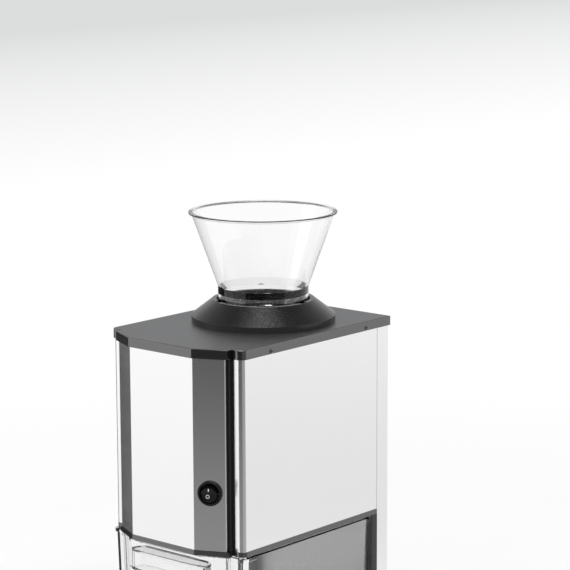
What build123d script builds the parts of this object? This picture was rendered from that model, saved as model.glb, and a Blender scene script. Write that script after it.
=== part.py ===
from build123d import *
import math
import os

# Electric ice crusher, in millimetres. Z = 0 is the table, the front faces -Y and X = 0 is the middle plane.

# Case in plan: three flat facets bow forward between two corner columns.
case_width = 162.4
case_depth = 210.3
bow_depth = 19.8
facet_half = 38.7
facet_fall = 14.4
facet_end_x = 68.5
notch_depth = 1.5
notch_width = 3.4
cover_corner = 7.2
gland_reach = 8.0

# Levels of the case, from the table up.
foot_height = 7.0
base_height = 17.0
bay_height = 150.5
deck_height = 4.7
panel_height = 176.0
skirt_height = 8.8

# Steel panels and black mouldings of the case.
sheet = 0.8
panel_inset = 1.6
panel_corner = 5.6
hem_radius = 1.5
hem_reach = 1.6
hem_short = 1.6
seam_back = 192.7
seam_gap = 0.4
cover_thickness = 2.5
cover_wall = 1.2
cover_edge = 0.5
deck_inset = 1.0
base_inset = 0.8
base_wall = 3.0
base_cover_thickness = 1.5
post_depth = 8.2
post_width = 7.0
groove_post_width = 5.0
groove_post_inset = 0.4
groove_rib_width = 2.8
groove_rib_proud = 3.0
groove_floor_sunk = 0.5
fit = 0.3

# Rubber feet and fasteners.
foot_radius = 11.0
foot_taper = 1.5
foot_margin_x = 23.0
foot_margin_front = 25.5
foot_margin_rear = 22.0
boss_radius = 9.0
screw_head = 3.6
screw_head_height = 2.2
screw_shank = 1.6
screw_socket = 1.8
screw_bite = 9.0
trim_screw_head = 2.3
trim_screw_height = 0.9
trim_screw_shank = 1.3
trim_screw_socket = 1.3
screw_play = 0.1
cover_screw_front = 39.2
cover_screw_rear = 174.3
cover_screw_drop = 6.3
collar_screw_angle = 45.0

# Hopper, collar and gasket, on one upright axis.
hopper_back = 121.4
hopper_rise = 103.0
hopper_kink = 32.3
hopper_rim_radius = 69.5
hopper_top_radius = 67.0
hopper_skirt_radius = 42.5
hopper_throat_drop = 21.8
hopper_wall = 2.3
hopper_lip_height = 2.0
hopper_flange = 1.0
hopper_flange_height = 4.0
hopper_tab_count = 3
hopper_tab_width = 8.0
hopper_tab_reach = 2.8
hopper_tab_angle = -115.0
collar_radius = 67.4
collar_wall_height = 5.3
collar_height = 20.5
collar_top_radius = 47.8
collar_ledge = 4.0
collar_mouth = 38.0
collar_shell = 2.5
collar_rib = 2.6
gasket_height = 1.5
gasket_width = 4.0
collar_screw_count = 4

# Ice bin.
bin_half_width = 82.0
bin_front_inset = 1.7
bin_column_proud = 0.5
bin_fold = 60.0
bin_corner = 6.0
bin_rear_back = 184.5
bin_wall = 2.4
bin_floor = 3.0
bin_lip = 1.2
bin_lip_height = 3.0
bin_draft_angle = 1.2
bin_top_gap = 1.0
pocket_drop = 12.0
pocket_height = 15.5
pocket_half_width = 44.0
pocket_depth = 16.5
pocket_corner = 8.0
grip_half_width = 49.0
grip_height = 28.0
grip_proud = 1.2

# Round rocker switch on the right outer facet.
switch_along = 15.4
switch_drop = 131.3
bezel_radius = 11.5
bezel_height = 2.2
switch_body_radius = 10.2
switch_depth = 18.0
switch_well_radius = 9.3
switch_well_depth = 7.5
rocker_radius = 8.3
rocker_edge = 4.4
rocker_skirt = 3.0
rocker_tilt = 12.0
rocker_pivot_depth = 2.0
pivot_pin_radius = 1.1
pivot_play = 0.06
bezel_edge = 0.6
terminal_reach = 8.0
terminal_width = 4.8
terminal_pitch = 6.5
terminal_count = 3

# Crushing chamber.
rotor_drop = 92.0
chamber_half = 38.0
housing_wall = 5.0
housing_corner = 6.0
housing_flange = 9.0
housing_flange_height = 4.0
housing_bolt_inset = 4.5
chute_height = 45.0
chute_mouth = 28.0
chute_wall = 2.0
shaft_radius = 6.0
shaft_play = 0.05
bushing_radius = 9.0
bushing_flange = 2.5
bushing_flange_height = 2.0
seal_radius = 11.0
seal_height = 2.0
blade_count = 5
blade_pitch = 14.0
blade_thickness = 3.0
blade_radius = 33.0
blade_hub = 12.0
blade_arms = 3
blade_arm_width = 9.0
blade_hook = 7.0
blade_turn = 24.0
spacer_radius = 8.5
comb_plate = 4.0
comb_half_height = 12.0
comb_tooth_height = 6.0
comb_shaft_gap = 1.5
comb_bolt_spread = 20.0
nut_radius = 9.0
nut_height = 6.0

# Gear train: pinion on the motor, idler with two gears, last gear on the crusher shaft.
first_module = 0.8
motor_teeth = 15
idler_teeth = 60
last_module = 1.75
idler_pinion_teeth = 14
shaft_gear_teeth = 48
pressure_angle = 20.0
backlash = 0.12
gearbox_wall = 4.0
gearbox_clear = 2.0
first_gear_width = 7.0
last_gear_width = 10.0
gear_side_gap = 1.0
gear_gap = 2.0
tooth_root = 1.2
flank_lift = 0.05
flank_steps = 3
idler_shaft_radius = 4.0

# Motor.
motor_radius = 29.0
motor_shell = 2.0
end_bell_height = 8.0
end_bell_recess = 3.0
bell_slot_count = 6
bell_slot_length = 9.0
bell_slot_width = 3.5
bell_slot_ring = 16.2
motor_front_gap = 7.4
motor_shaft_radius = 3.0
armature_radius = 22.0
armature_gap = 8.0
armature_slots = 9
armature_slot_depth = 8.0
armature_slot_width = 2.0
magnet_thickness = 3.2
magnet_half_angle = 55.0
fan_radius = 21.0
fan_height = 5.0
fan_hub = 7.0
fan_blades = 8
motor_screw_ring = 25.0
motor_screw_radius = 1.4

# Electrics at the back.
board_length = 50.0
board_width = 30.0
board_thickness = 1.6
board_centre_x = -38.0
board_wall_gap = 5.0
standoff_height = 8.0
standoff_radius = 3.0
standoff_margin = 4.0
capacitor_radius = 6.5
capacitor_height = 16.0
rectifier_size = 15.0
rectifier_height = 5.0
terminal_block_length = 24.0
terminal_block_width = 14.0
terminal_block_height = 12.0
terminal_block_poles = 3
gland_x = 50.0
gland_rise = 34.0
gland_radius = 8.0
gland_neck = 6.0
gland_bore = 3.3
gland_nut_radius = 10.0
gland_nut_height = 5.0
gland_hex = 9.6
gland_edge = 1.5
vent_count = 6
vent_length = 70.0
vent_height = 4.0
vent_pitch = 9.0
vent_drop = 30.0

# Levels and lines that follow from the sizes above.
overall_depth = bow_depth + case_depth + gland_reach
y_front = -overall_depth / 2
y_corner = y_front + bow_depth
y_back = y_corner + case_depth
half_case = case_width / 2
lean = math.atan2(facet_fall, facet_end_x - facet_half)
base_bottom = foot_height
base_top = base_bottom + base_height
deck_bottom = base_top + bay_height
deck_top = deck_bottom + deck_height
skirt_bottom = deck_top + panel_height
cover_top = skirt_bottom + skirt_height
cover_under = cover_top - cover_thickness
panel_top = cover_under - fit
y_seam = y_corner + seam_back
column_y = y_corner + panel_inset
shell_inner = half_case - panel_inset - sheet
back_inner = y_back - panel_inset - sheet
hopper_y = y_corner + hopper_back
rotor_z = cover_top - rotor_drop

up = (Align.CENTER, Align.CENTER, Align.MIN)
down = (Align.CENTER, Align.CENTER, Align.MAX)


def across(x, y, z):
    """Plane square to the shafts that faces the front: its X is X and its Y is Z."""
    return Plane((x, y, z), x_dir=(1, 0, 0), z_dir=(0, -1, 0))


def facet_point(inset, x):
    """Point at `x` on the right outer facet, `inset` inside the cover's edge."""
    fold_x = facet_half - inset * math.tan(lean / 2)
    return (x, y_front + inset + (x - fold_x) * math.tan(lean))


def case_outline(inset, rear, fold=0.0, hem=0.0, corner=cover_corner, short=0.0):
    """Plan of the case, `inset` inside the cover's edge and cut straight at Y = `rear`."""
    fold_point = facet_point(inset, facet_half - inset * math.tan(lean / 2))
    end_point = facet_point(inset, facet_end_x - inset - short)
    column = y_corner + inset
    side = half_case - inset
    right = [
        fold_point,
        end_point,
        (end_point[0], column + notch_depth),
        (end_point[0] + short + notch_width, column),
        (side, column),
        (side, rear),
    ]
    radii = [fold, hem, 0, 0, corner, 0]
    left = [(-x, y) for x, y in reversed(right)]
    with BuildSketch() as outline:
        with BuildLine():
            FilletPolyline(*right, *left, radius=radii + radii[::-1], close=True)
        make_face()
    return outline.sketch


def nested_outline(inset, rear_inset):
    """Plan of a moulding: full width in front of the seam, and inside the rear shell behind it."""
    half = half_case - panel_inset - sheet - rear_inset
    rear = y_back - panel_inset - sheet - rear_inset
    with BuildSketch() as outline:
        add(case_outline(inset, y_seam - seam_gap))
        with Locations((0, (y_seam + rear) / 2 - seam_gap)):
            Rectangle(2 * half, rear - y_seam + 2 * seam_gap)
    return outline.sketch


def bin_outline(inset):
    """Plan of the ice bin, `inset` inside its rim."""
    bow = bin_front_inset + inset
    fold_point = facet_point(bow, facet_half - bow * math.tan(lean / 2))
    end_point = facet_point(bow, facet_end_x - bow)
    column = y_corner - bin_column_proud + inset
    side = bin_half_width - inset
    rear = y_corner + bin_rear_back - inset
    right = [fold_point, end_point, (end_point[0], column), (side, column), (side, rear)]
    radii = [bin_fold, hem_radius, hem_radius, bin_corner, bin_corner]
    left = [(-x, y) for x, y in reversed(right)]
    with BuildSketch() as outline:
        with BuildLine():
            FilletPolyline(*right, *left, radius=radii + radii[::-1], close=True)
        make_face()
    return outline.sketch


def ring(outer, inner, height, plane):
    """Round ring that stands on `plane`."""
    with BuildPart(plane) as piece:
        Cylinder(outer, height, align=up)
        Cylinder(inner, 3 * height, mode=Mode.SUBTRACT)
    return piece.part


def drill(plane, radius, depth):
    """Round hole through `plane`, `depth` to each side of it, in the part that is being made."""
    with Locations(plane):
        Cylinder(radius, 2 * depth, mode=Mode.SUBTRACT)


def screw(plane, head, head_height, shank, length, socket):
    """Hexagon-socket screw: the head stands on `plane` and the shank runs against its normal."""
    with BuildPart(plane) as piece:
        Cylinder(head, head_height, align=up)
        Cylinder(shank, length, align=down)
        with BuildSketch(plane.offset(head_height)):
            RegularPolygon(socket, 6)
        extrude(amount=-head_height / 2, mode=Mode.SUBTRACT)
    return piece.part


def machine_screw(plane, length):
    return screw(plane, screw_head, screw_head_height, screw_shank, length, screw_socket)


def trim_screw(plane, length):
    return screw(plane, trim_screw_head, trim_screw_height, trim_screw_shank, length, trim_screw_socket)


def gear_outline(teeth, module, phase):
    """Involute gear with one tooth's middle at the angle `phase`."""
    pitch_radius = module * teeth / 2
    slope = math.radians(pressure_angle)
    base_radius = pitch_radius * math.cos(slope)
    root_radius = pitch_radius - tooth_root * module
    tip_radius = pitch_radius + module
    pitch_half = math.pi / (2 * teeth) - backlash / (2 * pitch_radius)
    base_half = pitch_half + math.tan(slope) - slope

    def half_angle(radius):
        roll = math.acos(min(1.0, base_radius / radius))
        return base_half - (math.tan(roll) - roll)

    flank_start = max(base_radius, root_radius + flank_lift * module)
    flank_step = (tip_radius - flank_start) / flank_steps
    flank = [flank_start + flank_step * k for k in range(flank_steps + 1)]
    profile = [(r, -half_angle(r)) for r in [root_radius] + flank]
    profile += [(r, half_angle(r)) for r in reversed([root_radius] + flank)]
    points = []
    for tooth in range(teeth):
        middle = phase + 2 * math.pi * tooth / teeth
        points += [(r * math.cos(middle + a), r * math.sin(middle + a)) for r, a in profile]
    with BuildSketch() as outline:
        with BuildLine():
            Polyline(*points, close=True)
        make_face()
    return outline.sketch


# ---- Base: tray, cover, feet ----
foot_x = half_case - foot_margin_x
foot_points = [
    (side * foot_x, y)
    for side in (-1, 1)
    for y in (y_corner + foot_margin_front, y_back - foot_margin_rear)
]
tray_bottom = base_bottom + base_cover_thickness
tray_screw_z = base_bottom + base_height / 2
deck_screw_z = deck_bottom + deck_height / 2

with BuildPart() as base_tray:
    with BuildSketch(Plane.XY.offset(tray_bottom)):
        add(nested_outline(base_inset, fit))
    extrude(amount=base_top - tray_bottom)
    with BuildSketch(Plane.XY.offset(tray_bottom)):
        add(nested_outline(base_inset + base_wall, fit + base_wall))
    extrude(amount=base_top - tray_bottom - base_wall, mode=Mode.SUBTRACT)
    with BuildSketch(Plane.XY.offset(tray_bottom)):
        with Locations(*foot_points):
            Circle(boss_radius)
    extrude(amount=base_top - tray_bottom - base_wall / 2)
    for x, y in foot_points:
        drill(Plane((x, y, tray_bottom)), screw_shank + screw_play, screw_bite + fit)
    for x in (-foot_x, foot_x):
        drill(across(x, back_inner - fit, tray_screw_z), trim_screw_shank + screw_play, base_wall)

with BuildPart() as base_cover:
    with BuildSketch(Plane.XY.offset(base_bottom)):
        add(nested_outline(base_inset, fit))
    extrude(amount=base_cover_thickness)
    for x, y in foot_points:
        drill(Plane((x, y, base_bottom)), screw_shank + screw_play, 2 * base_cover_thickness)

foot_seat = foot_height / 2
with BuildPart() as rubber_feet:
    for x, y in foot_points:
        with Locations((x, y, 0)):
            Cone(foot_radius - foot_taper, foot_radius, foot_height, align=up)
    for x, y in foot_points:
        drill(Plane((x, y, 0)), screw_head + screw_play, foot_seat)
        drill(Plane((x, y, 0)), screw_shank + screw_play, 2 * foot_height)

foot_screw_length = foot_height - foot_seat + base_cover_thickness + screw_bite
with BuildPart() as foot_screws:
    for x, y in foot_points:
        seat = Plane((x, y, foot_seat), x_dir=(1, 0, 0), z_dir=(0, 0, -1))
        add(machine_screw(seat, foot_screw_length))

# ---- Steel panels, cut from one bent band ----
rear_bottom = base_bottom + base_cover_thickness


def steel_band(bottom, rear):
    """Band of sheet steel along the case's plan, from `bottom` to the cover."""
    inner_hem = hem_radius - sheet / 2
    inner_corner = panel_corner - sheet
    with BuildPart() as band:
        with BuildSketch(Plane.XY.offset(bottom)):
            add(case_outline(panel_inset, rear, hem_radius, hem_radius, panel_corner, hem_short))
            add(
                case_outline(
                    panel_inset + sheet, rear - sheet, hem_radius, inner_hem, inner_corner, hem_short
                ),
                mode=Mode.SUBTRACT,
            )
        extrude(amount=panel_top - bottom)
    return band.part


hem_x, hem_y = facet_point(panel_inset, facet_end_x - panel_inset - hem_short)
switch_fold = facet_point(panel_inset, facet_half - panel_inset * math.tan(lean / 2))
switch_z = cover_top - switch_drop
facet_run = (math.cos(lean), math.sin(lean), 0)
facet_out = (math.sin(lean), -math.cos(lean), 0)
switch_plane = Plane(
    (
        switch_fold[0] + switch_along * math.cos(lean),
        switch_fold[1] + switch_along * math.sin(lean),
        switch_z,
    ),
    x_dir=facet_run,
    z_dir=facet_out,
)

with BuildPart() as front_panel:
    add(steel_band(deck_top, y_back - panel_inset))
    with Locations((0, y_front, deck_top)):
        Box(
            2 * (half_case - panel_corner),
            2 * (hem_y + hem_reach - y_front),
            2 * (panel_top - deck_top),
            mode=Mode.INTERSECT,
        )
    drill(switch_plane, switch_body_radius + fit, 3 * sheet)

side_start = facet_end_x - panel_inset + notch_width
cover_screw_points = [y_corner + cover_screw_front, y_corner + cover_screw_rear]
cover_screw_z = cover_top - cover_screw_drop


def side_plane(side, x, y, z):
    """Plane that faces out of the left (-1) or right (1) side."""
    return Plane((side * x, y, z), x_dir=(0, side, 0), z_dir=(side, 0, 0))


def side_panel(side):
    """Left (-1) or right (1) panel: a column's front flat, its bend and the side up to the seam."""
    panel_rear = y_seam - seam_gap
    with BuildPart() as panel:
        add(steel_band(deck_top, y_back - panel_inset))
        with Locations((side * (side_start + half_case) / 2, (y_corner + panel_rear) / 2, deck_top)):
            Box(
                half_case - side_start,
                panel_rear - y_corner,
                2 * (panel_top - deck_top),
                mode=Mode.INTERSECT,
            )
        for y in cover_screw_points:
            screw_spot = side_plane(side, half_case, y, cover_screw_z)
            drill(screw_spot, trim_screw_shank + screw_play, 2 * screw_head)
    return panel


left_side_panel = side_panel(-1)
right_side_panel = side_panel(1)

gland_z = deck_top + gland_rise
with BuildPart() as rear_shell:
    add(steel_band(rear_bottom, y_back - panel_inset))
    with Locations((0, y_seam, rear_bottom)):
        Box(
            case_width,
            y_back - y_seam,
            2 * (panel_top - rear_bottom),
            align=(Align.CENTER, Align.MIN, Align.CENTER),
            mode=Mode.INTERSECT,
        )
    drill(across(gland_x, back_inner, gland_z), gland_neck + screw_play, 3 * sheet)
    with BuildSketch(across(0, y_back, cover_top - vent_drop - vent_count * vent_pitch / 2)):
        with GridLocations(1, vent_pitch, 1, vent_count):
            SlotOverall(vent_length, vent_height)
    extrude(amount=-2 * (y_back - back_inner), both=True, mode=Mode.SUBTRACT)
    for x in (-foot_x, foot_x):
        for z in (tray_screw_z, deck_screw_z):
            drill(across(x, back_inner, z), trim_screw_shank + screw_play, 3 * sheet)

# ---- Black posts in the grooves beside the front panel ----


def groove_post(side):
    """Black upright, with a rib, that closes the groove between a hem and a corner column."""
    outer = hem_x - groove_post_inset
    rib = outer + groove_rib_width
    floor = column_y + groove_floor_sunk
    behind = column_y + notch_depth + sheet
    with BuildPart() as post:
        with BuildSketch(Plane.XY.offset(deck_top)):
            with BuildLine():
                Polyline(
                    (side * outer, hem_y + hem_reach + fit),
                    (side * outer, column_y - groove_rib_proud),
                    (side * rib, column_y - groove_rib_proud),
                    (side * rib, floor),
                    (side * (side_start - fit), floor),
                    (side * (side_start - fit), behind),
                    (side * (outer - groove_post_width), behind),
                    (side * (outer - groove_post_width), hem_y + hem_reach + fit),
                    close=True,
                )
            make_face()
        extrude(amount=skirt_bottom - fit - deck_top)
    return post


left_groove_post = groove_post(-1)
right_groove_post = groove_post(1)

# ---- Bay behind the bin: steel back and black posts ----
bay_back_front = y_seam + fit
with BuildPart() as bay_back_panel:
    with Locations((0, bay_back_front, base_top)):
        Box(
            2 * (shell_inner - fit),
            sheet,
            bay_height,
            align=(Align.CENTER, Align.MIN, Align.MIN),
        )

with BuildPart() as bay_posts:
    for side in (-1, 1):
        post_x = side * (half_case - deck_inset - post_width / 2)
        with Locations((post_x, y_seam - post_depth / 2, base_top)):
            Box(post_width, post_depth, bay_height, align=up)

# ---- Deck between the bin bay and the machine room ----
chamber_outer = chamber_half + housing_wall
chute_outer = chute_mouth + chute_wall
housing_bolt = chamber_outer + housing_flange - housing_bolt_inset
housing_bolt_points = [
    (sx * housing_bolt, hopper_y + sy * housing_bolt) for sx in (-1, 1) for sy in (-1, 1)
]
board_y = back_inner - board_wall_gap - board_width / 2
standoff_x = board_length / 2 - standoff_margin
standoff_y = board_width / 2 - standoff_margin
standoff_points = [
    (board_centre_x + sx * standoff_x, board_y + sy * standoff_y)
    for sx in (-1, 1)
    for sy in (-1, 1)
]

with BuildPart() as deck:
    with BuildSketch(Plane.XY.offset(deck_bottom)):
        add(nested_outline(deck_inset, fit))
        with Locations((0, hopper_y)):
            Rectangle(2 * (chute_outer + fit), 2 * (chute_outer + fit), mode=Mode.SUBTRACT)
    extrude(amount=deck_height)
    for x, y in housing_bolt_points + standoff_points:
        drill(Plane((x, y, deck_top)), screw_shank + screw_play, 2 * deck_height)
    for x in (-foot_x, foot_x):
        drill(across(x, back_inner - fit, deck_screw_z), trim_screw_shank + screw_play, base_wall)

# ---- Top cover ----
collar_screw_ring = (collar_mouth + hopper_skirt_radius + hopper_flange) / 2
with BuildPart() as top_cover:
    with BuildSketch(Plane.XY.offset(skirt_bottom)):
        add(case_outline(0, y_back))
    extrude(amount=skirt_height)
    chamfer(top_cover.faces().sort_by(Axis.Z)[-1].edges(), cover_edge)
    with BuildSketch(Plane.XY.offset(skirt_bottom)):
        add(case_outline(cover_wall, y_back - cover_wall, corner=cover_corner - cover_wall / 2))
    extrude(amount=skirt_height - cover_thickness, mode=Mode.SUBTRACT)
    drill(Plane((0, hopper_y, cover_top)), collar_mouth, 2 * cover_thickness)
    for side in (-1, 1):
        for y in cover_screw_points:
            screw_spot = side_plane(side, half_case, y, cover_screw_z)
            drill(screw_spot, trim_screw_shank + screw_play, 4 * cover_wall)
    with Locations(Plane((0, hopper_y, cover_top))):
        with PolarLocations(collar_screw_ring, collar_screw_count, start_angle=collar_screw_angle):
            Cylinder(trim_screw_shank + screw_play, 3 * cover_thickness, mode=Mode.SUBTRACT)

cover_screw_bite = panel_inset + sheet + 2 * cover_wall
with BuildPart() as cover_screws:
    for side in (-1, 1):
        for y in cover_screw_points:
            add(trim_screw(side_plane(side, half_case, y, cover_screw_z), cover_screw_bite))

with BuildPart() as back_screws:
    for x in (-foot_x, foot_x):
        for z in (tray_screw_z, deck_screw_z):
            seat = Plane((x, y_back - panel_inset, z), x_dir=(-1, 0, 0), z_dir=(0, 1, 0))
            add(trim_screw(seat, sheet + fit + base_wall - screw_play))

# ---- Hopper collar, gasket and hopper ----
hopper_axis = Plane((0, hopper_y, cover_top))
collar_bore = hopper_skirt_radius + hopper_flange + fit
tab_outer = collar_bore + hopper_tab_reach


def turned(points):
    """Ring turned about the hopper's axis from a (radius, height above the cover) outline."""
    with BuildPart() as piece:
        with BuildSketch(across(0, hopper_y, cover_top)):
            with BuildLine():
                Polyline(*points, close=True)
            make_face()
        revolve(axis=Axis((0, hopper_y, cover_top), (0, 0, 1)))
    return piece.part


bevel_slope = (collar_height - collar_wall_height) / (collar_radius - collar_top_radius)
hollow_outer = collar_radius - collar_shell
hollow_inner = tab_outer + collar_rib
hollow_low = collar_wall_height - collar_shell / 2
with BuildPart() as hopper_collar:
    add(
        turned(
            [
                (collar_mouth, 0),
                (collar_radius, 0),
                (collar_radius, collar_wall_height),
                (collar_top_radius, collar_height),
                (collar_bore, collar_height),
                (collar_bore, collar_ledge),
                (collar_mouth, collar_ledge),
            ]
        )
    )
    add(
        turned(
            [
                (hollow_inner, 0),
                (hollow_outer, 0),
                (hollow_outer, hollow_low),
                (hollow_inner, hollow_low + bevel_slope * (hollow_outer - hollow_inner)),
            ]
        ),
        mode=Mode.SUBTRACT,
    )
    with Locations(hopper_axis.offset(collar_ledge)):
        with PolarLocations(collar_bore, hopper_tab_count, start_angle=hopper_tab_angle):
            Box(
                2 * (hopper_tab_reach + fit),
                hopper_tab_width + 2 * fit,
                collar_height,
                align=up,
                mode=Mode.SUBTRACT,
            )
    with Locations(hopper_axis):
        with PolarLocations(collar_screw_ring, collar_screw_count, start_angle=collar_screw_angle):
            Cylinder(trim_screw_shank + screw_play, 2 * (collar_ledge - sheet), mode=Mode.SUBTRACT)

with BuildPart() as collar_screws:
    for k in range(collar_screw_count):
        angle = math.radians(collar_screw_angle + 360 * k / collar_screw_count)
        x = collar_screw_ring * math.cos(angle)
        y = hopper_y + collar_screw_ring * math.sin(angle)
        seat = Plane((x, y, cover_under), x_dir=(1, 0, 0), z_dir=(0, 0, -1))
        add(trim_screw(seat, cover_thickness + collar_ledge - sheet - fit))

with BuildPart() as hopper_gasket:
    gasket_radius = collar_bore - fit
    add(ring(gasket_radius, gasket_radius - gasket_width, gasket_height, hopper_axis.offset(collar_ledge)))

hopper_bottom = collar_ledge + gasket_height + fit
cone_slope = (hopper_top_radius - hopper_skirt_radius) / (hopper_rise - hopper_lip_height - hopper_kink)
throat_height = hopper_kink - hopper_throat_drop
throat_radius = hopper_skirt_radius - cone_slope * hopper_throat_drop
skirt_inner = hopper_skirt_radius - hopper_wall
with BuildPart() as hopper:
    add(
        turned(
            [
                (skirt_inner, hopper_bottom),
                (hopper_skirt_radius + hopper_flange, hopper_bottom),
                (hopper_skirt_radius + hopper_flange, hopper_bottom + hopper_flange_height),
                (hopper_skirt_radius, hopper_bottom + hopper_flange_height),
                (hopper_skirt_radius, hopper_kink),
                (hopper_top_radius, hopper_rise - hopper_lip_height),
                (hopper_rim_radius, hopper_rise - hopper_lip_height),
                (hopper_rim_radius, hopper_rise),
                (hopper_top_radius - hopper_wall + cone_slope * hopper_lip_height, hopper_rise),
                (throat_radius - hopper_wall, throat_height),
                (throat_radius, throat_height),
                (skirt_inner, hopper_kink - hopper_wall / cone_slope),
            ]
        )
    )
    with Locations(hopper_axis.offset(hopper_bottom)):
        with PolarLocations(collar_bore, hopper_tab_count, start_angle=hopper_tab_angle):
            Box(2 * hopper_tab_reach, hopper_tab_width, hopper_flange_height, align=up)

# ---- Ice bin ----
bin_bottom = base_top + fit
bin_top = deck_bottom - bin_top_gap
draft_slope = math.tan(math.radians(bin_draft_angle))
pocket_top = bin_top - pocket_drop
pocket_bottom = pocket_top - pocket_height
bin_front = y_front + bin_front_inset + bin_lip


def bin_section(plane_z, extra):
    """Plan of the bin's tapering wall at a level, `extra` inside its outer face."""
    return bin_outline(bin_lip + (bin_top - plane_z) * draft_slope + extra)


with BuildPart() as bin_cavity:
    with BuildSketch(Plane.XY.offset(bin_bottom + bin_floor)):
        add(bin_section(bin_bottom + bin_floor, bin_wall))
    with BuildSketch(Plane.XY.offset(bin_top)):
        add(bin_section(bin_top, bin_wall))
    loft(ruled=True)
    with BuildSketch(Plane.XY.offset(pocket_bottom - bin_wall)):
        with Locations((0, bin_front)):
            RectangleRounded(
                2 * (pocket_half_width + bin_wall), 2 * (pocket_depth + bin_wall), pocket_corner + bin_wall
            )
    extrude(amount=pocket_height + 2 * bin_wall, mode=Mode.SUBTRACT)

with BuildPart() as bin_grip:
    with BuildSketch(Plane.XY.offset(pocket_bottom - grip_height)):
        add(bin_section(pocket_bottom - grip_height, 0))
    with BuildSketch(Plane.XY.offset(pocket_bottom)):
        add(bin_section(pocket_bottom, -grip_proud))
    loft(ruled=True)
    with Locations((0, y_front, pocket_bottom)):
        Box(2 * grip_half_width, 2 * pocket_depth, 2 * grip_height, mode=Mode.INTERSECT)

with BuildPart() as ice_bin:
    with BuildSketch(Plane.XY.offset(bin_bottom)):
        add(bin_section(bin_bottom, 0))
    with BuildSketch(Plane.XY.offset(bin_top)):
        add(bin_section(bin_top, 0))
    loft(ruled=True)
    with BuildSketch(Plane.XY.offset(bin_top - bin_lip_height)):
        add(bin_outline(0))
    extrude(amount=bin_lip_height)
    add(bin_grip.part)
    add(bin_cavity.part, mode=Mode.SUBTRACT)
    with BuildSketch(Plane.XY.offset(pocket_bottom)):
        with Locations((0, bin_front)):
            RectangleRounded(2 * pocket_half_width, 2 * pocket_depth, pocket_corner)
    extrude(amount=pocket_height, mode=Mode.SUBTRACT)

# ---- Rocker switch ----
pivot_level = bezel_height - rocker_pivot_depth
pivot_reach = switch_body_radius - screw_play

with BuildPart(switch_plane) as switch_housing:
    Cylinder(bezel_radius, bezel_height, align=up)
    Cylinder(switch_body_radius, switch_depth, align=down)
    with Locations((0, 0, bezel_height)):
        Cylinder(switch_well_radius, switch_well_depth, align=down, mode=Mode.SUBTRACT)
    with Locations((0, 0, pivot_level)):
        Cylinder(
            pivot_pin_radius + pivot_play,
            2 * (pivot_reach + fit),
            rotation=(0, 90, 0),
            mode=Mode.SUBTRACT,
        )
    bezel_face = switch_housing.faces().sort_by(Axis(switch_plane.origin, switch_plane.z_dir))[-1]
    chamfer(bezel_face.outer_wire().edges(), bezel_edge)

# The rocker rests with its lower end pressed: the "O" side is in.
tilt = math.radians(rocker_tilt)
rocker_out = switch_plane.z_dir * math.cos(tilt) - Vector(0, 0, 1) * math.sin(tilt)
rocker_plane = Plane(switch_plane.offset(pivot_level).origin, x_dir=facet_run, z_dir=rocker_out)
rocker_middle = rocker_edge - rocker_radius * math.tan(tilt)
with BuildPart() as rocker_button:
    with BuildSketch(Plane(rocker_plane.origin, x_dir=rocker_plane.y_dir, z_dir=rocker_plane.x_dir)):
        with BuildLine():
            Polyline(
                (-rocker_radius, -rocker_skirt),
                (-rocker_radius, rocker_edge),
                (0, rocker_middle),
                (rocker_radius, rocker_edge),
                (rocker_radius, -rocker_skirt),
                close=True,
            )
        make_face()
    extrude(amount=rocker_radius, both=True)
    with Locations(rocker_plane):
        Cylinder(rocker_radius, 2 * rocker_edge + 2 * rocker_skirt, mode=Mode.INTERSECT)
        Cylinder(pivot_pin_radius, 2 * pivot_reach, rotation=(0, 90, 0))

with BuildPart() as switch_terminals:
    with Locations(switch_plane.offset(-switch_depth)):
        with GridLocations(0, terminal_pitch, 1, terminal_count):
            Box(terminal_width, sheet, terminal_reach, align=down)

# ---- Crushing chamber ----
housing_front = hopper_y - chamber_outer
housing_rear = hopper_y + chamber_outer
seal_y = hopper_y - chamber_half
chamber_corner = housing_corner - housing_wall / 2
flange_half = housing_bolt + housing_bolt_inset
comb_bolt_points = [hopper_y - comb_bolt_spread, hopper_y + comb_bolt_spread]

with BuildPart() as crusher_housing:
    with BuildSketch(Plane.XY.offset(deck_top)):
        with Locations((0, hopper_y)):
            RectangleRounded(
                2 * (chamber_outer + housing_flange), 2 * chamber_outer, housing_corner
            )
            RectangleRounded(2 * flange_half, 2 * flange_half, housing_corner)
    extrude(amount=housing_flange_height)
    with BuildSketch(Plane.XY.offset(deck_top)):
        with Locations((0, hopper_y)):
            RectangleRounded(2 * chamber_outer, 2 * chamber_outer, housing_corner)
    extrude(amount=panel_top - deck_top)
    with BuildSketch(Plane.XY.offset(deck_top)):
        with Locations((0, hopper_y)):
            RectangleRounded(2 * chamber_half, 2 * chamber_half, chamber_corner)
    extrude(amount=panel_top - deck_top, mode=Mode.SUBTRACT)
    for y in (housing_front, housing_rear):
        drill(across(0, y, rotor_z), bushing_radius + screw_play, 2 * housing_wall)
    for x, y in housing_bolt_points:
        drill(Plane((x, y, deck_top)), screw_shank + screw_play, 2 * housing_flange_height)
    for y in comb_bolt_points:
        drill(side_plane(-1, chamber_outer, y, rotor_z), screw_shank + screw_play, 2 * housing_wall)

with BuildPart() as housing_bolts:
    bolt_seat_z = deck_top + housing_flange_height
    for x, y in housing_bolt_points:
        add(machine_screw(Plane((x, y, bolt_seat_z)), housing_flange_height + deck_height))

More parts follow.
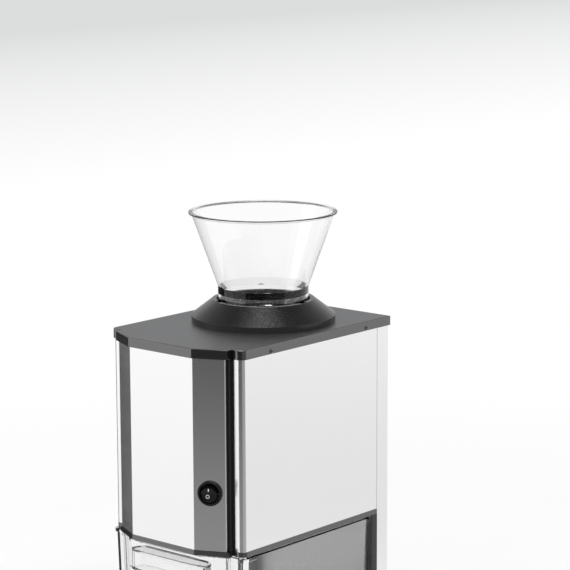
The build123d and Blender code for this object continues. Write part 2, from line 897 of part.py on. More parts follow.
with BuildPart() as discharge_chute:
    with BuildSketch(Plane.XY.offset(deck_bottom)):
        with Locations((0, hopper_y)):
            Rectangle(2 * chute_outer, 2 * chute_outer)
    extrude(amount=deck_height + fit)
    with BuildSketch(Plane.XY.offset(deck_top + fit)):
        with Locations((0, hopper_y)):
            RectangleRounded(2 * chute_outer, 2 * chute_outer, chamber_corner)
    with BuildSketch(Plane.XY.offset(deck_top + chute_height)):
        with Locations((0, hopper_y)):
            RectangleRounded(2 * (chamber_half - fit), 2 * (chamber_half - fit), chamber_corner)
    loft(ruled=True)
    with BuildSketch(Plane.XY.offset(deck_bottom)):
        with Locations((0, hopper_y)):
            Rectangle(2 * chute_mouth, 2 * chute_mouth)
    extrude(amount=deck_height + fit, mode=Mode.SUBTRACT)
    with BuildSketch(Plane.XY.offset(deck_top + fit)):
        with Locations((0, hopper_y)):
            Rectangle(2 * chute_mouth, 2 * chute_mouth)
    with BuildSketch(Plane.XY.offset(deck_top + chute_height)):
        with Locations((0, hopper_y)):
            Rectangle(2 * (chamber_half - fit - chute_wall), 2 * (chamber_half - fit - chute_wall))
    loft(ruled=True, mode=Mode.SUBTRACT)

# ---- Comb of fixed blades ----
comb_wall_x = -chamber_half + fit
comb_tip_x = -(spacer_radius + comb_shaft_gap)
comb_half_length = (blade_count - 1) * blade_pitch / 2
with BuildPart() as fixed_comb:
    with Locations((comb_wall_x, hopper_y, rotor_z)):
        Box(
            comb_plate,
            2 * comb_half_length,
            2 * comb_half_height,
            align=(Align.MIN, Align.CENTER, Align.CENTER),
        )
    for k in range(blade_count - 1):
        gap_y = hopper_y - comb_half_length + (k + 0.5) * blade_pitch
        with BuildSketch(across(0, gap_y + blade_thickness / 2, rotor_z)):
            with BuildLine():
                Polyline(
                    (comb_wall_x, comb_half_height),
                    (comb_tip_x, comb_tooth_height / 2),
                    (comb_tip_x, -comb_tooth_height / 2),
                    (comb_wall_x, -comb_half_height),
                    close=True,
                )
            make_face()
        extrude(amount=blade_thickness)
    for y in comb_bolt_points:
        drill(side_plane(-1, chamber_half, y, rotor_z), screw_shank + screw_play, comb_plate - sheet)

with BuildPart() as comb_bolts:
    for y in comb_bolt_points:
        seat = side_plane(-1, chamber_outer, y, rotor_z)
        add(machine_screw(seat, housing_wall + comb_plate - sheet - fit))

# ---- Bushings, seal, crusher shaft and blades ----
gearbox_rear = housing_front
gear_space = first_gear_width + gear_gap + last_gear_width + bushing_flange_height + 2 * gear_side_gap
gearbox_depth = gear_space + 2 * gearbox_wall
gearbox_front = gearbox_rear - gearbox_depth
cavity_front = gearbox_front + gearbox_wall
cavity_rear = gearbox_rear - gearbox_wall


def bushing(flange_y, length, facing):
    """Flanged sleeve on the crusher shaft. `facing` is the Y direction that its flange faces."""
    plane = Plane((0, flange_y, rotor_z), x_dir=(1, 0, 0), z_dir=(0, facing, 0))
    with BuildPart(plane) as piece:
        Cylinder(bushing_radius, length, align=down)
        Cylinder(bushing_radius + bushing_flange, bushing_flange_height, align=up)
        Cylinder(shaft_radius + shaft_play, 3 * length, mode=Mode.SUBTRACT)
    return piece


front_bushing = bushing(cavity_rear, gearbox_wall + housing_wall - seal_height, -1)
rear_bushing = bushing(housing_rear, housing_wall, 1)

with BuildPart() as shaft_seal:
    seal_plane = Plane((0, seal_y, rotor_z), x_dir=(1, 0, 0), z_dir=(0, 1, 0))
    add(ring(seal_radius, shaft_radius + shaft_play, seal_height, seal_plane))

shaft_front = cavity_front - gearbox_wall / 2
shaft_rear = housing_rear + bushing_flange_height + nut_height + fit
with BuildPart() as crusher_shaft:
    with BuildSketch(across(0, shaft_rear, rotor_z)):
        Circle(shaft_radius)
    extrude(amount=shaft_rear - shaft_front)

blade_tip = math.sqrt(blade_radius**2 - (blade_arm_width / 2) ** 2)
with BuildPart() as crusher_blades:
    for k in range(blade_count):
        blade_y = hopper_y - comb_half_length + k * blade_pitch
        with BuildSketch(across(0, blade_y + blade_thickness / 2, rotor_z)):
            Circle(blade_hub)
            with PolarLocations(0, blade_arms, start_angle=k * blade_turn):
                Polygon(
                    (0, -blade_arm_width / 2),
                    (blade_tip, -blade_arm_width / 2),
                    (blade_tip, blade_arm_width / 2),
                    (blade_tip - blade_hook, blade_arm_width / 2 + blade_hook / 2),
                    (blade_tip - 2 * blade_hook, blade_arm_width / 2),
                    (0, blade_arm_width / 2),
                    align=None,
                )
            Circle(shaft_radius + shaft_play, mode=Mode.SUBTRACT)
        extrude(amount=blade_thickness)

spacer_length = blade_pitch - blade_thickness
with BuildPart() as blade_spacers:
    for k in range(blade_count - 1):
        spacer_y = hopper_y - comb_half_length + (k + 0.5) * blade_pitch + spacer_length / 2
        with BuildSketch(across(0, spacer_y, rotor_z)):
            Circle(spacer_radius)
            Circle(shaft_radius + shaft_play, mode=Mode.SUBTRACT)
        extrude(amount=spacer_length)
    end_gap = chamber_half - comb_half_length - blade_thickness / 2
    for start_y in (hopper_y + chamber_half - fit, seal_y + end_gap):
        with BuildSketch(across(0, start_y, rotor_z)):
            Circle(spacer_radius)
            Circle(shaft_radius + shaft_play, mode=Mode.SUBTRACT)
        extrude(amount=end_gap - seal_height - fit)

with BuildPart() as shaft_nut:
    with BuildSketch(across(0, shaft_rear, rotor_z)):
        RegularPolygon(nut_radius, 6)
        Circle(shaft_radius + shaft_play, mode=Mode.SUBTRACT)
    extrude(amount=nut_height)

# ---- Gear train ----
first_distance = first_module * (motor_teeth + idler_teeth) / 2
last_distance = last_module * (idler_pinion_teeth + shaft_gear_teeth) / 2
idler_x = -first_distance
gear_z = rotor_z - math.sqrt(last_distance**2 - first_distance**2)
idler_direction = math.atan2(gear_z - rotor_z, idler_x)
first_rear = cavity_front + gear_side_gap + first_gear_width
last_rear = first_rear + gear_gap + last_gear_width

with BuildPart() as shaft_gear:
    with BuildSketch(across(0, last_rear, rotor_z)):
        add(gear_outline(shaft_gear_teeth, last_module, idler_direction))
        Circle(shaft_radius + shaft_play, mode=Mode.SUBTRACT)
    extrude(amount=last_gear_width)

with BuildPart() as idler_pinion:
    with BuildSketch(across(idler_x, last_rear, gear_z)):
        mesh_phase = idler_direction + math.pi + math.pi / idler_pinion_teeth
        add(gear_outline(idler_pinion_teeth, last_module, mesh_phase))
        Circle(idler_shaft_radius + shaft_play, mode=Mode.SUBTRACT)
    extrude(amount=last_gear_width + gear_gap)

with BuildPart() as idler_gear:
    with BuildSketch(across(idler_x, first_rear, gear_z)):
        add(gear_outline(idler_teeth, first_module, 0))
        Circle(idler_shaft_radius + shaft_play, mode=Mode.SUBTRACT)
    extrude(amount=first_gear_width)

with BuildPart() as motor_pinion:
    with BuildSketch(across(0, first_rear, gear_z)):
        add(gear_outline(motor_teeth, first_module, math.pi + math.pi / motor_teeth))
        Circle(motor_shaft_radius + shaft_play, mode=Mode.SUBTRACT)
    extrude(amount=first_gear_width)

idler_shaft_front = cavity_front - gearbox_wall / 2
idler_shaft_rear = cavity_rear + gearbox_wall / 2
with BuildPart() as idler_shaft:
    with BuildSketch(across(idler_x, idler_shaft_rear, gear_z)):
        Circle(idler_shaft_radius)
    extrude(amount=idler_shaft_rear - idler_shaft_front)

# ---- Gearbox ----
shaft_gear_clear = last_module * (shaft_gear_teeth / 2 + 1) + gearbox_clear
idler_clear = first_module * (idler_teeth / 2 + 1) + gearbox_clear
motor_clear = first_module * (motor_teeth / 2 + 1) + gearbox_clear


def gearbox_outline(extra):
    """Outline round all the gears, `extra` outside the clear space that they turn in."""
    with BuildSketch() as outline:
        with Locations((0, rotor_z)):
            Circle(shaft_gear_clear + extra)
        with Locations((idler_x, gear_z)):
            Circle(idler_clear + extra)
        with Locations((0, gear_z)):
            Circle(motor_clear + extra)
        make_hull()
    return outline.sketch


gearbox_screw_points = [
    (0, rotor_z + shaft_gear_clear + gearbox_wall / 2),
    (shaft_gear_clear + gearbox_wall / 2, rotor_z),
    (-shaft_gear_clear - gearbox_wall / 2, rotor_z),
    (idler_x, gear_z - idler_clear - gearbox_wall / 2),
]
gearbox_boss = screw_shank + gearbox_wall / 2

with BuildPart() as gearbox_housing:
    with BuildSketch(across(0, gearbox_rear, 0)):
        add(gearbox_outline(gearbox_wall))
        with Locations(*gearbox_screw_points):
            Circle(gearbox_boss)
    extrude(amount=gearbox_depth - gearbox_wall)
    with BuildSketch(across(0, cavity_rear, 0)):
        add(gearbox_outline(0))
    extrude(amount=cavity_rear - cavity_front, mode=Mode.SUBTRACT)
    drill(across(0, gearbox_rear, rotor_z), bushing_radius + screw_play, 2 * gearbox_wall)
    drill(across(idler_x, cavity_rear, gear_z), idler_shaft_radius + shaft_play, gearbox_wall / 2 + fit)
    for x, z in gearbox_screw_points:
        drill(across(x, cavity_front, z), trim_screw_shank + screw_play, screw_bite + fit)

with BuildPart() as gearbox_cover:
    with BuildSketch(across(0, cavity_front, 0)):
        add(gearbox_outline(gearbox_wall))
        with Locations(*gearbox_screw_points):
            Circle(gearbox_boss)
        with Locations((0, gear_z)):
            Circle(motor_radius)
    extrude(amount=gearbox_wall)
    drill(across(0, cavity_front, rotor_z), shaft_radius + shaft_play, gearbox_wall / 2 + fit)
    drill(across(idler_x, cavity_front, gear_z), idler_shaft_radius + shaft_play, gearbox_wall / 2 + fit)
    drill(across(0, cavity_front, gear_z), motor_shaft_radius + shaft_play, 2 * gearbox_wall)
    for x, z in gearbox_screw_points:
        drill(across(x, gearbox_front, z), trim_screw_shank + screw_play, 2 * gearbox_wall)
    for side in (-1, 1):
        drill(
            across(0, gearbox_front, gear_z + side * motor_screw_ring),
            motor_screw_radius + screw_play,
            gearbox_wall - sheet,
        )

with BuildPart() as gearbox_screws:
    for x, z in gearbox_screw_points:
        add(trim_screw(across(x, gearbox_front, z), gearbox_wall + screw_bite))

# ---- Motor ----
motor_front = y_front + panel_inset + sheet + motor_front_gap
can_front = motor_front + end_bell_height
can_length = gearbox_front - can_front
can_inner = motor_radius - motor_shell

with BuildPart() as motor_can:
    with BuildSketch(across(0, gearbox_front, gear_z)):
        Circle(motor_radius)
        Circle(can_inner, mode=Mode.SUBTRACT)
    extrude(amount=can_length)

with BuildPart() as end_bell:
    with BuildSketch(across(0, can_front, gear_z)):
        Circle(motor_radius)
    extrude(amount=end_bell_height)
    with BuildSketch(across(0, can_front, gear_z)):
        Circle(can_inner)
    extrude(amount=end_bell_recess, mode=Mode.SUBTRACT)
    with BuildSketch(across(0, can_front, gear_z)):
        with PolarLocations(bell_slot_ring, bell_slot_count):
            SlotOverall(bell_slot_length, bell_slot_width)
    extrude(amount=end_bell_height, mode=Mode.SUBTRACT)
    drill(across(0, can_front, gear_z), motor_shaft_radius + shaft_play, end_bell_height - sheet)
    for side in (-1, 1):
        drill(
            across(0, can_front, gear_z + side * motor_screw_ring),
            motor_screw_radius + screw_play,
            2 * end_bell_height,
        )

with BuildPart() as motor_magnets:
    for side in (0, 180):
        with BuildSketch(across(0, gearbox_front - armature_gap, gear_z)):
            with BuildLine():
                start = side - magnet_half_angle
                outer_arc = CenterArc((0, 0), can_inner - fit, start, 2 * magnet_half_angle)
                inner_arc = CenterArc((0, 0), can_inner - magnet_thickness, start, 2 * magnet_half_angle)
                Line(outer_arc @ 0, inner_arc @ 0)
                Line(outer_arc @ 1, inner_arc @ 1)
            make_face()
        extrude(amount=can_length - 2 * armature_gap)

motor_shaft_front = can_front - end_bell_height / 2
with BuildPart() as motor_shaft:
    with BuildSketch(across(0, first_rear + fit, gear_z)):
        Circle(motor_shaft_radius)
    extrude(amount=first_rear + fit - motor_shaft_front)

with BuildPart() as motor_armature:
    with BuildSketch(across(0, gearbox_front - armature_gap, gear_z)):
        Circle(armature_radius)
        with PolarLocations(armature_radius, armature_slots):
            Rectangle(armature_slot_depth, armature_slot_width, mode=Mode.SUBTRACT)
        Circle(motor_shaft_radius + shaft_play, mode=Mode.SUBTRACT)
    extrude(amount=can_length - 2 * armature_gap)

with BuildPart() as cooling_fan:
    fan_plane = across(0, gearbox_front - fit - motor_shell / 2, gear_z)
    with BuildSketch(fan_plane):
        Circle(fan_hub)
    extrude(amount=fan_height)
    with BuildSketch(fan_plane):
        Circle(fan_radius)
    extrude(amount=sheet)
    with BuildSketch(fan_plane):
        with PolarLocations((fan_radius + fan_hub) / 2 - sheet, fan_blades):
            Rectangle(fan_radius - fan_hub, sheet)
    extrude(amount=fan_height)
    drill(fan_plane, motor_shaft_radius + shaft_play, 2 * fan_height)

with BuildPart() as motor_screws:
    for side in (-1, 1):
        seat = across(0, motor_front, gear_z + side * motor_screw_ring)
        length = gearbox_front - motor_front + gearbox_wall - sheet - fit
        thread = motor_screw_radius
        add(screw(seat, 2 * thread, thread, thread, length, thread))

# ---- Electrics ----
board_z = deck_top + standoff_height
with BuildPart() as board_standoffs:
    for x, y in standoff_points:
        add(ring(standoff_radius, screw_shank + screw_play, standoff_height, Plane((x, y, deck_top))))

with BuildPart() as power_board:
    with Locations((board_centre_x, board_y, board_z)):
        Box(board_length, board_width, board_thickness, align=up)
    for x, y in standoff_points:
        drill(Plane((x, y, board_z)), screw_shank + screw_play, 2 * board_thickness)

component_z = board_z + board_thickness
with BuildPart() as board_screws:
    for x, y in standoff_points:
        add(machine_screw(Plane((x, y, component_z)), component_z - deck_screw_z))

with BuildPart() as board_components:
    with Locations((board_centre_x - capacitor_radius - gear_gap, board_y, component_z)):
        Cylinder(capacitor_radius, capacitor_height, align=up)
    with Locations((board_centre_x + rectifier_size / 2 + gear_gap, board_y, component_z)):
        Box(rectifier_size, rectifier_size, rectifier_height, align=up)

block_x = gland_x - gland_nut_radius
block_y = back_inner - gland_nut_height - terminal_block_width
with BuildPart() as terminal_block:
    with Locations((block_x, block_y, deck_top)):
        Box(terminal_block_length, terminal_block_width, terminal_block_height, align=up)
    with Locations((block_x, block_y, deck_top + terminal_block_height)):
        with GridLocations(terminal_block_length / terminal_block_poles, 1, terminal_block_poles, 1):
            Cylinder(screw_shank, terminal_block_height, mode=Mode.SUBTRACT)

# ---- Cord gland ----
gland_rear = y_back + gland_reach
back_face = y_back - panel_inset
with BuildPart() as cord_gland:
    gland_plane = Plane((gland_x, back_face, gland_z), x_dir=(-1, 0, 0), z_dir=(0, 1, 0))
    with BuildSketch(gland_plane):
        RegularPolygon(gland_hex, 6)
    extrude(amount=(gland_rear - back_face) / 2)
    with BuildSketch(gland_plane):
        Circle(gland_radius)
    extrude(amount=gland_rear - back_face)
    with BuildSketch(gland_plane):
        Circle(gland_neck)
    extrude(amount=-(sheet + gland_nut_height + gear_gap))
    drill(gland_plane, gland_bore, 3 * gland_reach)
    chamfer(cord_gland.faces().sort_by(Axis.Y)[-1].outer_wire().edges(), gland_edge)

with BuildPart() as gland_nut:
    with BuildSketch(across(gland_x, back_inner, gland_z)):
        RegularPolygon(gland_nut_radius, 6)
        Circle(gland_neck + screw_play, mode=Mode.SUBTRACT)
    extrude(amount=gland_nut_height)

# ---- Write every piece to its own file ----
pieces = {
    "base_tray": base_tray,
    "base_cover": base_cover,
    "rubber_feet": rubber_feet,
    "foot_screws": foot_screws,
    "rear_shell": rear_shell,
    "front_panel": front_panel,
    "left_side_panel": left_side_panel,
    "right_side_panel": right_side_panel,
    "left_groove_post": left_groove_post,
    "right_groove_post": right_groove_post,
    "bay_back_panel": bay_back_panel,
    "bay_posts": bay_posts,
    "deck": deck,
    "top_cover": top_cover,
    "cover_screws": cover_screws,
    "back_screws": back_screws,
    "hopper_collar": hopper_collar,
    "collar_screws": collar_screws,
    "hopper_gasket": hopper_gasket,
    "hopper": hopper,
    "ice_bin": ice_bin,
    "switch_housing": switch_housing,
    "rocker_button": rocker_button,
    "switch_terminals": switch_terminals,
    "crusher_housing": crusher_housing,
    "housing_bolts": housing_bolts,
    "discharge_chute": discharge_chute,
    "fixed_comb": fixed_comb,
    "comb_bolts": comb_bolts,
    "front_bushing": front_bushing,
    "rear_bushing": rear_bushing,
    "shaft_seal": shaft_seal,
    "crusher_shaft": crusher_shaft,
    "crusher_blades": crusher_blades,
    "blade_spacers": blade_spacers,
    "shaft_nut": shaft_nut,
    "shaft_gear": shaft_gear,
    "idler_pinion": idler_pinion,
    "idler_gear": idler_gear,
    "idler_shaft": idler_shaft,
    "motor_pinion": motor_pinion,
    "gearbox_housing": gearbox_housing,
    "gearbox_cover": gearbox_cover,
    "gearbox_screws": gearbox_screws,
    "motor_can": motor_can,
    "end_bell": end_bell,
    "motor_magnets": motor_magnets,
    "motor_shaft": motor_shaft,
    "motor_armature": motor_armature,
    "cooling_fan": cooling_fan,
    "motor_screws": motor_screws,
    "board_standoffs": board_standoffs,
    "power_board": power_board,
    "board_screws": board_screws,
    "board_components": board_components,
    "terminal_block": terminal_block,
    "cord_gland": cord_gland,
    "gland_nut": gland_nut,
}

os.makedirs("parts", exist_ok=True)
for name, piece in pieces.items():
    piece.part.label = name
    export_step(piece.part, f"parts/{name}.step")
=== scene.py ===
import math

import bmesh
import bpy
from mathutils import Matrix, Vector


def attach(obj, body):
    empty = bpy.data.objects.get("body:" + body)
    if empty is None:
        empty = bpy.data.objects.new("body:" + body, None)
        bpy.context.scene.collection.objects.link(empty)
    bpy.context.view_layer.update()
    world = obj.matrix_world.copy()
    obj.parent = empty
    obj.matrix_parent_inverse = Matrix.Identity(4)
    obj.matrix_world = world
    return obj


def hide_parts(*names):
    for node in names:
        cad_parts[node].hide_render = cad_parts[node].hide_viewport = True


# Electric ice crusher, seen from its front right corner. Sizes here are metres, X to the right,
# Y to the back and Z up from the table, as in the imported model.
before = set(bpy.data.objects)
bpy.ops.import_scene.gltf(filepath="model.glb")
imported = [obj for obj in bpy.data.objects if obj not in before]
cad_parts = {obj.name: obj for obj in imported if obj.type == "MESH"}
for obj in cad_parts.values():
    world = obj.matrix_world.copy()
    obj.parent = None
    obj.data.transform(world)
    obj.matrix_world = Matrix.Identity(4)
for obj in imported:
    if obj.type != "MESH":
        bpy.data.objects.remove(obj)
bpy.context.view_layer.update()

# ---- Camera ----
# A long lens, a little above the hopper's collar and turned 41 degrees to the right of the front.
LOOK_AT = Vector((0.0145, 0.03645, 0.3962))
CAMERA_TURN = math.radians(40.76)
CAMERA_RISE = math.radians(10.4)
CAMERA_ROLL = math.radians(-0.23)
CAMERA_AWAY = 2.192
FILM_MM = 36.0
FOCAL_MM = 147.98
NEAREST, FARTHEST = 0.05, 60.0

back = Vector(
    (
        math.sin(CAMERA_TURN) * math.cos(CAMERA_RISE),
        -math.cos(CAMERA_TURN) * math.cos(CAMERA_RISE),
        math.sin(CAMERA_RISE),
    )
)
right = Vector((math.cos(CAMERA_TURN), math.sin(CAMERA_TURN), 0.0))
lens = bpy.data.cameras.new("camera")
lens.sensor_width = FILM_MM
lens.lens = FOCAL_MM
lens.clip_start = NEAREST
lens.clip_end = FARTHEST
camera = bpy.data.objects.new("camera", lens)
bpy.context.scene.collection.objects.link(camera)
axes = Matrix((right, back.cross(right), back)).transposed()
axes = axes @ Matrix.Rotation(CAMERA_ROLL, 3, "Z")
camera.matrix_world = Matrix.Translation(LOOK_AT + back * CAMERA_AWAY) @ axes.to_4x4()
bpy.context.scene.camera = camera
bpy.context.scene.view_settings.view_transform = "Standard"


# ---- Studio ----
# A pale table top that runs out of sight, an even white room, three softboxes, and three grey
# boards round the machine that are seen only as darker reflections in its polished metal.
def paint(code):
    """Linear colour of an sRGB hex value."""
    parts = [int(code[i : i + 2], 16) / 255 for i in (0, 2, 4)]
    return (*(p / 12.92 if p <= 0.04045 else ((p + 0.055) / 1.055) ** 2.4 for p in parts), 1.0)


def add_node(tree, kind, links=None, **settings):
    """Adds a node; `links` gives its inputs values, or the outputs that feed them."""
    node = tree.nodes.new("ShaderNode" + kind)
    for name, value in settings.items():
        setattr(node, name, value)
    for name, value in (links or {}).items():
        if isinstance(value, bpy.types.NodeSocket):
            tree.links.new(value, node.inputs[name])
        else:
            node.inputs[name].default_value = value
    return node


def new_finish(name):
    """An empty material, its node tree and the piece's own place in metres."""
    finish = bpy.data.materials.new(name)
    finish.use_nodes = True
    finish.node_tree.nodes.clear()
    place = add_node(finish.node_tree, "TexCoord").outputs["Object"]
    return finish, finish.node_tree, place


def show(tree, surface):
    """Sends a shader to the material's output."""
    add_node(tree, "OutputMaterial", {"Surface": surface.outputs[0]})


# The room lights everything evenly. Seen straight, in a shine or through the plastics, it grows
# darker between these two heights of the line of sight, and that keeps the dark cover dark.
ROOM_LEVEL = 0.90
WALL_TOP, CEILING = 0.25, 0.85
world = bpy.data.worlds.new("white_room")
world.use_nodes = True
bpy.context.scene.world = world
room = world.node_tree
room.nodes.clear()
ray = add_node(room, "LightPath")
seen = add_node(
    room,
    "Math",
    {0: ray.outputs["Is Camera Ray"], 1: ray.outputs["Is Glossy Ray"]},
    operation="MAXIMUM",
)
seen = add_node(
    room,
    "Math",
    {0: seen.outputs[0], 1: ray.outputs["Is Transmission Ray"]},
    operation="MAXIMUM",
)
direction = add_node(room, "TexCoord").outputs["Generated"]
height = add_node(room, "SeparateXYZ", {"Vector": direction}).outputs["Z"]
rise = add_node(room, "MapRange", {"Value": height, "From Min": WALL_TOP, "From Max": CEILING})
backdrop = add_node(
    room,
    "Mix",
    {"Factor": rise.outputs["Result"], "A": paint("e2e3e4"), "B": paint("4c4c4d")},
    data_type="RGBA",
)
lit = add_node(room, "Background", {"Color": paint("ffffff"), "Strength": ROOM_LEVEL})
shown = add_node(room, "Background", {"Color": backdrop.outputs["Result"], "Strength": 1.0})
both = add_node(room, "MixShader", {0: seen.outputs[0], 1: lit.outputs[0], 2: shown.outputs[0]})
add_node(room, "OutputWorld", {"Surface": both.outputs[0]})

# Matt white laminate: it takes a soft shadow round the feet. Farther out than the shadow reaches
# it shows as a plain white sweep that greys a little into the distance, and to shining metal it
# greys a little near the machine too, a painted shade seen only in reflections. Each pair of
# distances is where a change starts and where it ends.
TABLE_RADIUS = 16.0
TABLE_STEPS = 128
SHADOW_REACH, WHITE_REACH = 0.45, 1.3
MATT_REACH, MIRROR_REACH = 0.25, 0.6
REFLECTED_SHADE_MIDDLE = (0.5, 0.6, 0.0)
REFLECTED_SHADE_START, REFLECTED_SHADE_END = 0.2, 2.6
SWEEP_TURN = math.radians(-175.8)
SWEEP_START, SWEEP_END = 2.9, 6.9
MOTTLE_MM = 166.7
table_paint, tree, place = new_finish("white_laminate")
mottle = add_node(tree, "TexNoise", {"Vector": place, "Scale": 1000 / MOTTLE_MM, "Detail": 2.0})
white = add_node(
    tree,
    "Mix",
    {"Factor": mottle.outputs["Fac"], "A": paint("f6f6f6"), "B": paint("fafafa")},
    data_type="RGBA",
)
matt = add_node(tree, "BsdfPrincipled", {"Base Color": white.outputs["Result"], "Roughness": 0.7})
away = add_node(tree, "VectorMath", {0: place}, operation="LENGTH").outputs["Value"]
turn = add_node(tree, "Mapping", {"Vector": place, "Rotation": (0.0, 0.0, SWEEP_TURN)})
behind = add_node(tree, "SeparateXYZ", {"Vector": turn.outputs[0]}).outputs["X"]
fade = add_node(
    tree,
    "MapRange",
    {"Value": behind, "From Min": SWEEP_START, "From Max": SWEEP_END},
)
sweep = add_node(
    tree,
    "Mix",
    {"Factor": fade.outputs["Result"], "A": paint("ffffff"), "B": paint("dcdddd")},
    data_type="RGBA",
)
ray = add_node(tree, "LightPath")
# Painted shade seen only in reflections: glossy rays see the table a little grey near the machine.
reflected_shade = add_node(
    tree,
    "VectorMath",
    {0: place, 1: REFLECTED_SHADE_MIDDLE},
    operation="DISTANCE",
).outputs["Value"]
reflected_shade = add_node(
    tree,
    "MapRange",
    {"Value": reflected_shade, "From Min": REFLECTED_SHADE_START, "From Max": REFLECTED_SHADE_END, "To Min": 1.0, "To Max": 0.0},
)
reflected_shade = add_node(
    tree,
    "Math",
    {0: ray.outputs["Is Glossy Ray"], 1: reflected_shade.outputs["Result"]},
    operation="MULTIPLY",
)
sweep = add_node(
    tree,
    "Mix",
    {"Factor": reflected_shade.outputs[0], "A": sweep.outputs["Result"], "B": paint("e4e4e4")},
    data_type="RGBA",
)
even = add_node(tree, "Emission", {"Color": sweep.outputs["Result"], "Strength": 1.0})
straight = add_node(
    tree,
    "Math",
    {0: ray.outputs["Is Camera Ray"], 1: ray.outputs["Is Transmission Ray"]},
    operation="MAXIMUM",
)
clear = add_node(
    tree,
    "MapRange",
    {"Value": away, "From Min": SHADOW_REACH, "From Max": WHITE_REACH},
)
far = add_node(
    tree,
    "MapRange",
    {"Value": away, "From Min": MATT_REACH, "From Max": MIRROR_REACH},
)
clear = add_node(
    tree,
    "Math",
    {0: straight.outputs[0], 1: clear.outputs["Result"]},
    operation="MULTIPLY",
)
far = add_node(
    tree,
    "Math",
    {0: ray.outputs["Is Glossy Ray"], 1: far.outputs["Result"]},
    operation="MULTIPLY",
)
share = add_node(tree, "Math", {0: clear.outputs[0], 1: far.outputs[0]}, operation="MAXIMUM")
surface = add_node(
    tree,
    "MixShader",
    {0: share.outputs[0], 1: matt.outputs[0], 2: even.outputs[0]},
)
show(tree, surface)

bm = bmesh.new()
bmesh.ops.create_circle(bm, cap_ends=True, radius=TABLE_RADIUS, segments=TABLE_STEPS)
mesh = bpy.data.meshes.new("table_top")
bm.to_mesh(mesh)
bm.free()
mesh.materials.append(table_paint)
table_top = bpy.data.objects.new("table_top", mesh)
bpy.context.scene.collection.objects.link(table_top)

# Each softbox: where it hangs, the width and height of its cloth and its power in watts. All of
# them face the middle of the machine.
MACHINE_MIDDLE = Vector((0, 0, 0.25))
SOFTBOXES = {
    "overhead_softbox": ((0.2, -0.3, 2.1), (1.05, 1.05), 7.0),
    "left_softbox": ((-1.9, -1.6, 1.7), (1.3, 1.3), 7.0),
    "front_strip": ((0.99, -1.18, 2.14), (1.6, 0.35), 5.0),
}
for name, (spot, cloth, watts) in SOFTBOXES.items():
    lamp = bpy.data.lights.new(name, "AREA")
    lamp.shape = "RECTANGLE"
    lamp.size, lamp.size_y = cloth
    lamp.energy = watts
    softbox = bpy.data.objects.new(name, lamp)
    softbox.location = spot
    softbox.rotation_euler = (MACHINE_MIDDLE - Vector(spot)).to_track_quat("-Z", "Y").to_euler()
    bpy.context.scene.collection.objects.link(softbox)

# Each board is grey cloth on a curved frame: the bearings it spans, in degrees from the front
# towards the right, and its greys below GREY_LOW and above GREY_HIGH. Its foot runs in along the
# table. It gives the steel its dark flanks and has no other part in the picture.
BOARD_AWAY = 0.46
BOARD_FOOT = 0.15
BOARD_RISE = 0.40
BOARD_LIFT = 0.001
BOARD_STEPS = 24
GREY_LOW, GREY_HIGH = 0.10, 0.32
BOARDS = {
    "right_board": (-3.0, 50.0, "858586", "444445"),
    "side_board": (50.0, 98.0, "a4a4a5", "8c8c8d"),
    "left_board": (-122.0, -74.0, "3e3e3f", "525253"),
}
for name, (first, last, low_grey, high_grey) in BOARDS.items():
    board_paint, tree, place = new_finish(name + "_cloth")
    level = add_node(tree, "SeparateXYZ", {"Vector": place}).outputs["Z"]
    level = add_node(
        tree,
        "MapRange",
        {"Value": level, "From Min": GREY_LOW, "From Max": GREY_HIGH},
    )
    tone = add_node(
        tree,
        "Mix",
        {"Factor": level.outputs["Result"], "A": paint(low_grey), "B": paint(high_grey)},
        data_type="RGBA",
    )
    show(tree, add_node(tree, "Emission", {"Color": tone.outputs["Result"], "Strength": 1.0}))
    bm = bmesh.new()
    bearing = math.radians(first)
    corners = ((BOARD_FOOT, BOARD_LIFT), (BOARD_AWAY, BOARD_LIFT), (BOARD_AWAY, BOARD_RISE))
    foot, bend, top = (
        bm.verts.new((away * math.sin(bearing), -away * math.cos(bearing), z))
        for away, z in corners
    )
    bm.edges.new((foot, bend))
    bm.edges.new((bend, top))
    bmesh.ops.spin(
        bm,
        geom=bm.verts[:] + bm.edges[:],
        cent=(0, 0, 0),
        axis=(0, 0, 1),
        dvec=(0, 0, 0),
        angle=math.radians(last - first),
        steps=BOARD_STEPS,
        use_merge=False,
        use_duplicate=False,
    )
    mesh = bpy.data.meshes.new(name)
    bm.to_mesh(mesh)
    bm.free()
    mesh.materials.append(board_paint)
    board = bpy.data.objects.new(name, mesh)
    bpy.context.scene.collection.objects.link(board)
    for kind in ("camera", "diffuse", "transmission", "shadow", "volume_scatter"):
        setattr(board, "visible_" + kind, False)

# ---- Base: tray, cover and feet ----
# The tray that the bin stands on and its underside are black ABS, moulded with a fine sparked
# texture. Four rubber feet are screwed up into bosses in the tray.

# Moulded ABS: a soft near-black, a little cloudy, that breaks its highlights up. The spark
# texture is about 0.1 mm and is drawn coarser, so that it shows.
SPARK_MM = 0.714
MOULD_CLOUD_MM = 55.56
black_abs, tree, place = new_finish("black_moulded_abs")
grit = add_node(
    tree,
    "TexNoise",
    {"Vector": place, "Scale": 1000 / SPARK_MM, "Detail": 3.0, "Roughness": 0.6},
)
flow = add_node(tree, "TexNoise", {"Vector": place, "Scale": 1000 / MOULD_CLOUD_MM, "Detail": 2.0})
tone = add_node(
    tree,
    "Mix",
    {"Factor": flow.outputs["Fac"], "A": paint("1a1a1b"), "B": paint("222223")},
    data_type="RGBA",
)
gloss = add_node(tree, "MapRange", {"Value": grit.outputs["Fac"], "To Min": 0.26, "To Max": 0.38})
sparks = add_node(
    tree,
    "Bump",
    {"Height": grit.outputs["Fac"], "Strength": 0.06, "Distance": 0.0001},
)
surface = add_node(
    tree,
    "BsdfPrincipled",
    {
        "Base Color": tone.outputs["Result"],
        "Roughness": gloss.outputs["Result"],
        "Normal": sparks.outputs[0],
        "IOR": 1.53,
    },
)
show(tree, surface)


